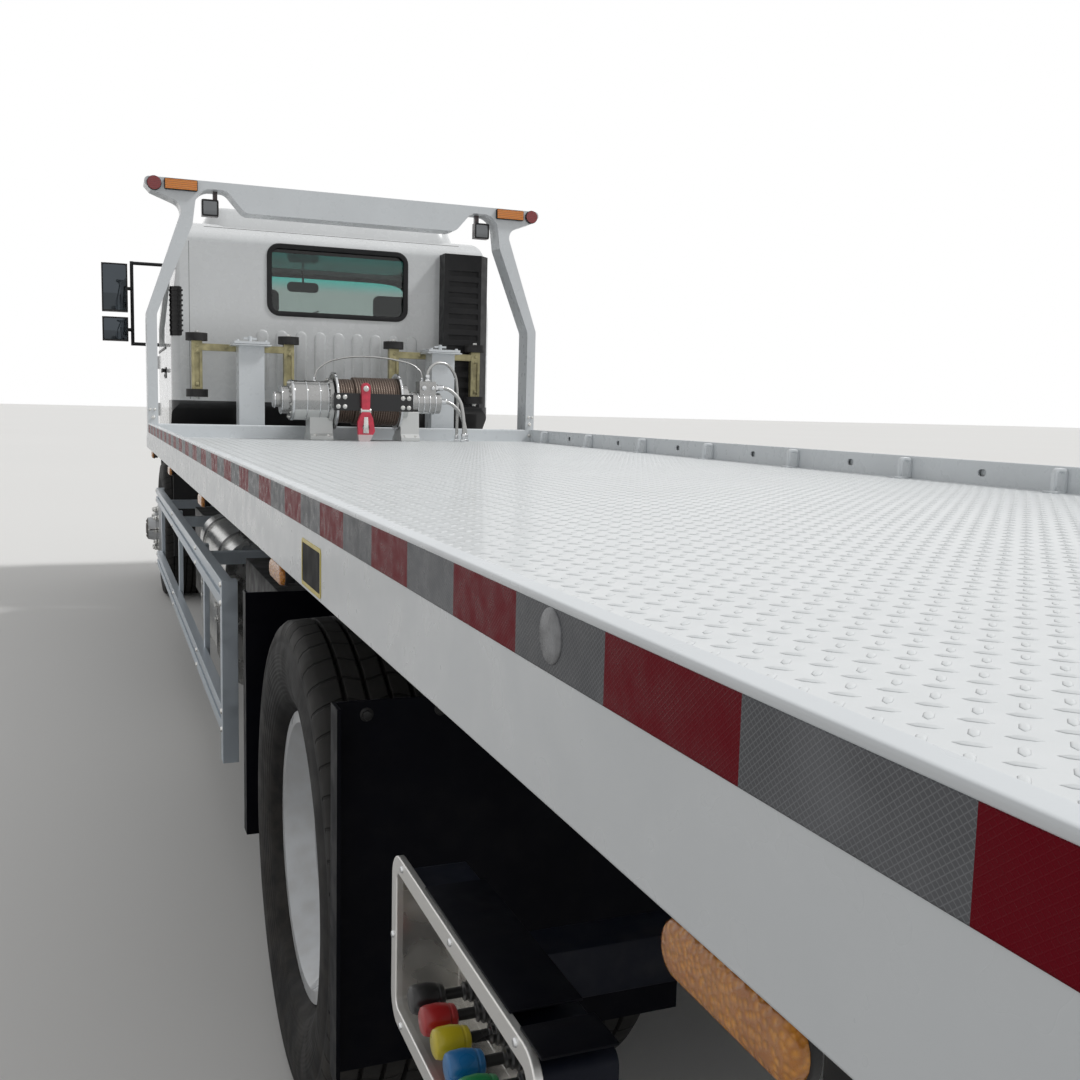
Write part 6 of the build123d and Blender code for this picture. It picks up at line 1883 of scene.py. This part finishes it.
@dataclass
class Wheels:
    """Tyres with grooved treads, wheel nuts, hub caps and valves."""

    width: float = 0.262
    outer: float = 0.433
    bead: float = 0.2483
    groove_depth: float = 0.012
    groove_width: float = 0.009
    groove_slant: float = 0.0015
    grooves: tuple[float, ...] = (-0.074, -0.0375, 0.0)
    foot: tuple[Span, ...] = ((-0.0857, 0.262), (-0.098, 0.268), (-0.104, 0.276), (-0.112, 0.281))
    side_wall: tuple[Span, ...] = (
        (0.93, 0.305),
        (0.985, 0.33),
        (1.0, 0.352),
        (0.995, 0.372),
        (0.97, 0.388),
        (0.965, 0.39),
        (0.972, 0.393),
        (0.955, 0.408),
        (0.91, 0.42),
        (0.83, 0.4285),
    )
    nuts: int = 10
    nut_circle: float = 0.1275
    cap: tuple[Span, ...] = (
        (-0.002, 0.0),
        (-0.002, 0.066),
        (0.002, 0.066),
        (0.0035, 0.0645),
        (0.0035, 0.04),
        (0.009, 0.036),
        (0.011, 0.03),
        (0.0115, 0.0),
    )
    twin: float = 0.298
    rear_x: float = 0.9935
    front_x: float = 0.915
    rear_disc: float = 0.8567
    front_disc: float = 1.064
    rear_hub: float = 1.0347
    front_hub: float = 1.1262

    def build(self) -> None:
        """Builds the pieces of all the wheels."""
        for side, name in ((1.0, "left"), (-1.0, "right")):
            self.build_tyres(f"front_{name}", (side * self.front_x,), FRONT_AXLE_Y, FRONT_RUBBER)
            twins = (side * self.rear_x, side * (self.rear_x - self.twin))
            self.build_tyres(f"rear_{name}", twins, REAR_AXLE_Y, FINISHES["tyre"])
            self.build_nuts(f"front_{name}", side, self.front_disc, FRONT_AXLE_Y, self.front_hub)
            self.build_nuts(f"rear_{name}", side, self.rear_disc, REAR_AXLE_Y, self.rear_hub)

    def profile(self) -> list[tuple[float, float]]:
        """The tyre's outline across its width, from its inner half, with a step for each groove."""
        rows = [(-0.0855, self.bead), *self.foot]
        rows += [(-self.width / 2 * share, radius) for share, radius in self.side_wall]
        for middle in self.grooves:
            crown = self.outer - 0.0035 * (middle / 0.09) ** 2
            low, high = middle - self.groove_width / 2, middle + self.groove_width / 2
            floor = crown - self.groove_depth
            rows += [(low, crown), (low + self.groove_slant, floor), (high - self.groove_slant, floor), (high, crown)]
        left = [row for row in rows if row[0] < -1e-6]
        return [*left, *[(-u, r) for u, r in reversed(left)]]

    def build_tyres(self, name: str, places: Sequence[float], y: float, finish: Finish) -> None:
        """The tyres of one wheel body.

        Args:
            name: The wheel's name.
            places: The middle of each tyre on X.
            y: The axle's place.
            finish: The rubber.
        """
        shape = Shape()
        rows = self.profile()
        for x in places:
            shape.lathe([*rows, rows[0]], (x, y, AXLE_Z), Axis.X, 120)
        tyre = shape.piece(f"tread_tyre_{name}", f"wheel_{name}", finish, "tyre", smooth=40.0)
        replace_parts(tyre, f"tyre_{name}")

    def build_nuts(self, name: str, side: float, face: float, y: float, hub_end: float) -> None:
        """Wheel nuts, the hub's cap with its bolts, and the valve.

        Args:
            name: The wheel's name.
            side: One on the left, minus one on the right.
            face: The disc's outer face, as a distance from the middle.
            y: The axle's place.
            hub_end: The hub's outer end.
        """
        shape = Shape()
        out = Vector((side, 0.0, 0.0))
        for number in range(self.nuts):
            turn = 2.0 * math.pi * number / self.nuts
            off = (self.nut_circle * math.cos(turn), self.nut_circle * math.sin(turn))
            place = Vector((side * face, y + off[0], AXLE_Z + off[1]))
            shape.rod(place - out * 0.002, place + out * 0.005, 0.0195, 20, edge=0.001)
            shape.rod(place + out * 0.004, place + out * 0.024, 0.0155, 6, edge=0.0015)
            shape.rod(place + out * 0.022, place + out * 0.034, 0.0098, 16, edge=0.0015)
        shape.piece(f"wheel_nuts_{name}", f"wheel_{name}", BRIGHT_BOLT)
        cap = Shape()
        centre = (side * hub_end, y, AXLE_Z)
        cap.lathe([(side * a, r) for a, r in self.cap], centre, Axis.X, 48)
        cap.bolt_ring((side * (hub_end + 0.0035), y, AXLE_Z), Axis.X, side, 0.052, 8, 0.006)
        cap.piece(f"hub_cap_{name}", f"wheel_{name}", FINISHES["cast_steel"], "cast_steel")
        valve = Shape()
        start = Vector((side * (face + 0.006), y + 0.19, AXLE_Z + 0.012))
        valve.rod(start, start + Vector((side * 0.05, 0.012, 0.0)), 0.004, 12)
        neck, tip = Vector((side * 0.045, 0.011, 0.0)), Vector((side * 0.06, 0.0145, 0.0))
        valve.rod(start + neck, start + tip, 0.0055, 12, edge=0.001)
        valve.piece(f"valve_{name}", f"wheel_{name}", BRIGHT_BOLT)


@dataclass
class Cab:
    """Pressings, outlet, seats, rubbers, handles, wipers, headlamps and mirrors of the cab."""

    back_y: float = CAB_BACK_Y
    front_y: float = CAB_FRONT_Y
    rear_window: Point = (0.425, 1.805, 2.212)
    roof_rows: tuple[Span, ...] = (
        (2.2, 0.0),
        (2.28, 0.0),
        (2.405, 0.0555),
        (2.42, 0.064),
        (2.4285, 0.075),
        (2.432, 0.09),
    )
    roof_ribs: tuple[float, ...] = (-0.52, -0.26, 0.0, 0.26, 0.52)
    wall_ribs: int = 9
    wall_pitch: float = 0.117
    wall_rows: tuple[Span, ...] = ((-0.002, 0.0), (0.0015, 0.0012), (0.005, 0.005), (0.007, 0.013))
    seats: tuple[Span, ...] = ((0.43, 0.26), (-0.43, 0.26), (-0.01, 0.125))
    back_panels: tuple[float, ...] = (-0.62, 0.0, 0.62)
    handle_y: float = CAB_FRONT_Y + 0.93
    mirror_y: float = CAB_FRONT_Y + 0.2
    mirror_heads: tuple[Span, ...] = ((1.87, 2.2), (1.667, 1.832))
    wiper_feet: Span = (0.62, -0.08)
    slats: int = 9
    slat_pitch: float = 0.0295
    grille_rows: int = 4
    grille_pitch: float = 0.062
    grille_columns: int = 23
    column_pitch: float = 0.04
    lamp_face: float = -4.3465
    lamp_z: float = 0.61
    reflector: tuple[Span, ...] = (
        (0.004, 0.0),
        (-0.0006, 0.012),
        (-0.0022, 0.022),
        (-0.0012, 0.033),
        (0.001, 0.0395),
        (-0.0035, 0.0405),
        (-0.004, 0.0425),
        (-0.0036, 0.045),
        (-0.002, 0.0465),
        (0.004, 0.047),
    )

    def build(self) -> None:
        """Builds the cab's pieces."""
        self.build_pressings()
        self.build_vent()
        self.build_seats()
        self.build_rear_window()
        self.build_doors()
        self.build_front()
        self.build_headlamps()
        self.build_mirrors()
        self.build_inside()

    def build_pressings(self) -> None:
        """The raised roof with its ribs, and the arched ribs pressed in the rear wall."""
        shape = Shape()
        low, high = (-0.815, self.front_y + 0.56, 0.0), (0.815, self.back_y - 0.075, 0.0)
        shape.loft(low, high, Axis.Z, 0.16, self.roof_rows)
        for x in self.roof_ribs:
            ends = (low[1] + 0.13, high[1] - 0.13)
            rows = ((2.43, 0.0), (2.434, 0.002), (2.4375, 0.007), (2.439, 0.016))
            shape.loft((x - 0.055, ends[0], 0.0), (x + 0.055, ends[1], 0.0), Axis.Z, 0.054, rows)
        rows = [(self.back_y + out, inset) for out, inset in self.wall_rows]
        for number in range(self.wall_ribs):
            x = (number - self.wall_ribs // 2) * self.wall_pitch
            shape.loft((x - 0.0365, 0.0, 1.33), (x + 0.0365, 0.0, 1.702), Axis.Y, 0.036, rows)
        shape.piece("cab_pressings", "cab", FINISHES["cab_white"], "cab_white", smooth=50.0)

    def build_vent(self) -> None:
        """The black slotted outlet that wraps round the cab's left rear corner."""
        shape = Shape()
        low, high = (0.905, self.back_y - 0.075, 1.643), (1.004, self.back_y + 0.005, 1.932)
        shape.loft(low, high, Axis.Z, 0.055, ((1.643, 0.003), (1.646, 0.0), (1.929, 0.0), (1.932, 0.003)))
        for number in range(self.slats):
            z = 1.668 + number * self.slat_pitch
            rows = ((z, 0.0), (z + 0.001, -0.003), (z + 0.011, -0.003), (z + 0.013, 0.0))
            shape.loft(low, high, Axis.Z, 0.055, rows)
        shape.piece("corner_outlet", "cab", BLACK_PARTS)

    def build_seats(self) -> None:
        """Three upholstered seats; the outer two have a narrow headrest on posts."""
        shape = Shape()
        y = (self.front_y + 0.76, self.front_y + 1.28)
        for x, half in self.seats:
            shape.block((x - half + 0.04, y[0], 1.08), (x + half - 0.04, y[1], 1.335), 0.01)
            shape.block((x - half, y[0] - 0.02, 1.325), (x + half, y[1] - 0.06, 1.45), 0.045, 5)
            for offset in self.back_panels:
                middle, wide = x + offset * half, half * 0.36
                shape.block((middle - wide, y[1] - 0.125, 1.43), (middle + wide, y[1] - 0.005, 1.79), 0.042, 5)
        for x, _ in self.seats[:2]:
            shape.block((x - 0.12, y[1] - 0.115, 1.83), (x + 0.12, y[1] - 0.025, 1.985), 0.04, 5)
            for offset in (-0.05, 0.05):
                shape.rod((x + offset, y[1] - 0.07, 1.76), (x + offset, y[1] - 0.07, 1.86), 0.006, 12)
        made = shape.piece("upholstered_seats", "cab", FINISHES["seat_fabric"], "seat_fabric", smooth=50.0)
        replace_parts(made, "seats")

    def build_rear_window(self) -> None:
        """The rear window's rubber, standing a little proud of the wall."""
        half, bottom, top = self.rear_window
        low = (-half - 0.016, self.back_y - 0.012, bottom - 0.016)
        high = (half + 0.016, self.back_y + 0.008, top + 0.012)
        Shape().frame(low, high, Axis.Y, 0.03, 0.075, 0.003).piece("rear_window_rubber", "cab", SEAL_RUBBER)

    def build_doors(self) -> None:
        """A pull handle and a lock on each door, and a rubber lip below its window."""
        for side, name in ((1.0, "left"), (-1.0, "right")):
            shape = Shape()
            y = self.handle_y
            shape.block((side * 0.997, y, 1.4), (side * 1.004, y + 0.17, 1.47), 0.002)
            shape.block((side * 1.003, y + 0.01, 1.44), (side * 1.022, y + 0.035, 1.458), 0.003)
            shape.block((side * 1.003, y + 0.135, 1.44), (side * 1.022, y + 0.16, 1.458), 0.003)
            shape.block((side * 1.016, y + 0.01, 1.436), (side * 1.026, y + 0.16, 1.462), 0.004)
            shape.rod((side * 1.0, y + 0.05, 1.418), (side * 1.008, y + 0.05, 1.418), 0.009, 20, edge=0.001)
            shape.block((side * 0.996, self.front_y + 0.27, 1.585), (side * 1.004, self.front_y + 1.07, 1.601), 0.002)
            shape.piece(f"door_handle_{name}", f"door_{name}", BLACK_PARTS)

    def build_front(self) -> None:
        """Wipers, the grille's bright bars and a blank number plate in its frame."""
        shape = Shape()
        for foot in self.wiper_feet:
            start = Vector((foot, self.front_y + 0.012, 1.585))
            tip = start + Vector((-0.5, 0.075, 0.24))
            shape.rod(start + Vector((0.0, 0.01, -0.012)), start + Vector((0.0, -0.014, 0.0)), 0.014, 20, edge=0.002)
            shape.rod(start + Vector((0.0, -0.008, 0.0)), tip + Vector((0.0, -0.02, 0.0)), 0.0065, 10, tip=0.0045)
            blade = (tip - start).normalized() * 0.3
            ahead = Vector((0.0, -0.007, 0.0))
            shape.rod(tip - blade + ahead, tip + blade + ahead, 0.007, 8, tip=0.005)
        shape.piece("wipers", "cab", BLACK_PARTS)
        mesh = Shape()
        for number in range(self.grille_rows):
            z = 1.28 + (number - 1.5) * self.grille_pitch
            mesh.block((-0.46, self.front_y - 0.0195, z - 0.0035), (0.46, self.front_y - 0.013, z + 0.0035), 0.001)
            for column in range(self.grille_columns):
                x = -0.44 + column * self.column_pitch
                low = (x - 0.002, self.front_y - 0.018, z - 0.0125)
                mesh.block(low, (x + 0.002, self.front_y - 0.012, z + 0.0125))
        mesh.piece("grille_bars", "cab", CHROME)
        plate = Shape()
        plate.frame((-0.235, -4.3505 + 0.001, 0.52), (0.235, -4.3445, 0.64), Axis.Y, 0.008, 0.01, 0.001)
        plate.piece("front_plate_frame", "chassis", BLACK_PARTS)
        blank = Shape().block((-0.228, -4.3488, 0.527), (0.228, -4.3455, 0.633), 0.001)
        blank.piece("front_plate", "chassis", BLANK_PLATE)

    def build_headlamps(self) -> None:
        """Two round reflectors with bezels in each headlamp's dark field."""
        shape = Shape()
        y, z = self.lamp_face, self.lamp_z
        for x in (0.658, 0.762):
            shape.lathe(self.reflector, (x, y, z), Axis.Y, 40)
        shape.rod((0.835, y + 0.02, z), (0.835, y + 0.0085, z), 0.02, 24, edge=0.002)
        shape.mirrored()
        shape.piece("headlamp_reflectors", "chassis", CHROME)

    def build_mirrors(self) -> None:
        """A dark glass in a lip on the rear face of each mirror head."""
        y = self.mirror_y
        panes, lips = Shape(), Shape()
        for low, high in self.mirror_heads:
            panes.block((1.208, y - 0.0005, low + 0.008), (1.362, y + 0.002, high - 0.008), 0.0005)
            lips.frame((1.2, y - 0.0005, low), (1.37, y + 0.0045, high), Axis.Y, 0.0095, 0.02, 0.001)
            lips.block((1.21, y - 0.0835, low + 0.012), (1.36, y - 0.0795, high - 0.012), 0.003)
        panes.mirrored().piece("mirror_panes", "cab", MIRROR_GLASS)
        lips.mirrored().piece("mirror_lips", "cab", BLACK_PARTS)

    def build_inside(self) -> None:
        """The interior mirror, seen through the rear window."""
        shape = Shape()
        y = self.front_y + 0.36
        rows = ((y, 0.004), (y + 0.004, 0.0), (y + 0.018, 0.0), (y + 0.02, 0.003))
        shape.loft((-0.1, 0.0, 2.06), (0.125, 0.0, 2.13), Axis.Y, 0.03, rows)
        shape.rod((0.01, y + 0.01, 2.12), (0.01, y - 0.02, 2.215), 0.007, 12)
        shape.piece("inside_mirror", "cab", BLACK_PARTS)


@dataclass
class Chassis:
    """Caps, bolts and plates of the guards, the tank, the lamps and the mudguards."""

    posts: tuple[float, ...] = (0.926, 1.7, 2.86, 4.166)
    rails: Span = (0.764, 0.431)
    guard_x: Span = (1.139, 1.1445)
    cap_place: Point = (0.93, 0.52, 0.795)
    cap_rows: tuple[Span, ...] = (
        (0.0, 0.0),
        (0.0, 0.044),
        (0.012, 0.044),
        (0.012, 0.05),
        (0.015, 0.052),
        (0.034, 0.052),
        (0.037, 0.05),
        (0.037, 0.0),
    )
    cap_grips: int = 12
    grip_circle: float = 0.0515
    grip_z: float = 0.811
    straps: Span = (-0.1275, 0.4045)
    strap_bolts: Span = (0.55, 0.5)
    tail_y: float = 3.6885
    tail_fields: tuple[Span, ...] = ((0.47, 0.562), (0.558, 0.672), (0.668, 0.79))
    flaps: Span = (REAR_AXLE_Y + 0.456, REAR_AXLE_Y - 0.526)
    flap_bolts: tuple[float, ...] = (0.64, 0.75, 0.86, 0.97, 1.08)

    def build(self) -> None:
        """Builds the chassis's pieces."""
        self.build_guards()
        self.build_tank()
        self.build_lamps()
        self.build_mudguards()

    def build_guards(self) -> None:
        """Round bolts where the guard's rails cross its posts."""
        shape = Shape()
        for ahead in self.posts:
            y = REAR_AXLE_Y - ahead - 0.0225
            for z in self.rails:
                for dz in (-0.024, 0.024):
                    foot, top = ((x, y, z + dz) for x in self.guard_x)
                    shape.rod(foot, top, 0.0085, 16, tip=0.0055, edge=0.0008)
        shape.mirrored()
        shape.piece("guard_bolts", "chassis", BRIGHT_BOLT)

    def build_tank(self) -> None:
        """The fuel cap and its neck, and a strap bolt on each strap."""
        shape = Shape()
        x, y, _ = self.cap_place
        shape.lathe(self.cap_rows, self.cap_place, Axis.Z, 40)
        for number in range(self.cap_grips):
            turn = 2.0 * math.pi * number / self.cap_grips
            off = (self.grip_circle * math.cos(turn), self.grip_circle * math.sin(turn))
            place = Vector((x + off[0], y + off[1], self.grip_z))
            shape.rod(place, place + Vector((0.0, 0.0, 0.02)), 0.0035, 8)
        shape.piece("fuel_cap", "chassis", BLACK_PARTS)
        bolts = Shape()
        for y in self.straps:
            for z in self.strap_bolts:
                bolts.bolt((1.0465, y, z), Axis.X, 1.0, 0.009)
        bolts.piece("strap_bolts", "chassis", BRIGHT_BOLT)

    def build_lamps(self) -> None:
        """Black frames between the tail lamps' fields, and a blank plate at the tail."""
        shape = Shape()
        y = self.tail_y
        for low, high in self.tail_fields:
            shape.frame((low, y - 0.002, 0.59), (high, y + 0.004, 0.69), Axis.Y, 0.006, 0.012, 0.001)
        shape.mirrored()
        shape.piece("tail_lamp_frames", "chassis", BLACK_PARTS)
        Shape().block((-0.4, 3.6525, 0.6), (-0.18, 3.657, 0.72), 0.002).piece("tail_plate", "chassis", BLANK_PLATE)

    def build_mudguards(self) -> None:
        """Round bolts that hold each mud flap."""
        shape = Shape()
        for y in self.flaps:
            way = 1.0 if y > REAR_AXLE_Y else -1.0
            for x in self.flap_bolts:
                shape.bolt((x, y - way * 0.0005, 0.815), Axis.Y, way, 0.0075)
        shape.mirrored()
        shape.piece("flap_bolts", "chassis", BLACK_PARTS)


@dataclass
class Studio:
    """The floor, the lights, the world and the camera."""

    camera_place: Point = (1.4311, 4.4022, 1.2503)
    camera_turn: Point = (1.45576, -0.02384, 2.76555)
    lens: float = 37.33
    sensor: float = 36.0
    floor_half: float = 260.0
    floor_colour: Colour = (0.78, 0.775, 0.76)
    floor_bounce: Colour = (0.42, 0.41, 0.4)
    sky_strength: float = 0.5
    sun_strength: float = 1.75
    sun_turn: Point = (math.radians(41.0), 0.0, math.radians(-112.0))
    sun_angle: float = math.radians(8.0)

    def build(self) -> None:
        """Builds all of the studio."""
        self.build_camera()
        self.build_floor()
        self.build_light()
        view = bpy.context.scene.view_settings
        view.view_transform = "Standard"

    def build_camera(self) -> None:
        """The camera at the photograph's place."""
        data = bpy.data.cameras.new("camera")
        data.sensor_width = self.sensor
        data.lens = self.lens
        data.clip_start = 0.02
        data.clip_end = 900.0
        camera = bpy.data.objects.new("camera", data)
        camera.location = self.camera_place
        camera.rotation_euler = self.camera_turn
        bpy.context.scene.collection.objects.link(camera)
        bpy.context.scene.camera = camera

    def build_floor(self) -> None:
        """A wide pale floor at the tyres' feet."""
        mesh = bmesh.new()
        bmesh.ops.create_grid(mesh, x_segments=1, y_segments=1, size=self.floor_half)
        data = bpy.data.meshes.new("floor")
        mesh.to_mesh(data)
        mesh.free()
        made = bpy.data.materials.new("studio floor")
        made.use_nodes = True
        graph = Graph(made.node_tree)
        shader = made.node_tree.nodes["Principled BSDF"]
        tone = graph.noise(graph.position(), 0.12, 2.0)
        darker = tuple(part * 0.97 for part in self.floor_colour)
        pale = graph.mix(tone, darker, self.floor_colour)
        graph.feed(shader.inputs["Base Color"], graph.mix(self.looked_at(graph), self.floor_bounce, pale))
        shader.inputs["Roughness"].default_value = 0.85
        data.materials.append(made)
        floor = bpy.data.objects.new("floor", data)
        bpy.context.scene.collection.objects.link(floor)

    @staticmethod
    def looked_at(graph: Graph) -> bpy.types.NodeSocket:
        """One for rays from the camera, off gloss and through glass, and nought for the rest."""
        path = graph.node("LightPath")
        seen = graph.math("MAXIMUM", path.outputs["Is Camera Ray"], path.outputs["Is Glossy Ray"])
        return graph.math("MAXIMUM", seen, path.outputs["Is Transmission Ray"])

    def build_light(self) -> None:
        """A white world for what looks at it, dimmer as light, and one broad soft lamp."""
        world = bpy.data.worlds.new("studio")
        world.use_nodes = True
        graph = Graph(world.node_tree)
        back = world.node_tree.nodes["Background"]
        back.inputs["Color"].default_value = (1.0, 1.0, 1.0, 1.0)
        graph.feed(back.inputs["Strength"], graph.ramp(self.looked_at(graph), 0.0, 1.0, self.sky_strength, 1.0))
        bpy.context.scene.world = world
        data = bpy.data.lights.new("sun", "SUN")
        data.energy = self.sun_strength
        data.angle = self.sun_angle
        sun = bpy.data.objects.new("sun", data)
        sun.rotation_euler = self.sun_turn
        bpy.context.scene.collection.objects.link(sun)


def main() -> None:
    """Builds the studio, dresses the model and adds each sub-assembly's pieces."""
    logging.basicConfig(level=logging.INFO, format="%(name)s %(message)s")
    Studio().build()
    Dresser(frame).dress_all()
    for assembly in (
        SideRails(),
        LashingRings(),
        MarkerLamps(),
        Deck(),
        ControlBox(),
        Winch(),
        Hook(),
        Headboard(),
        Dollies(),
        Wheels(),
        Cab(),
        Chassis(),
    ):
        assembly.build()


if __name__ == "__main__":
    main()
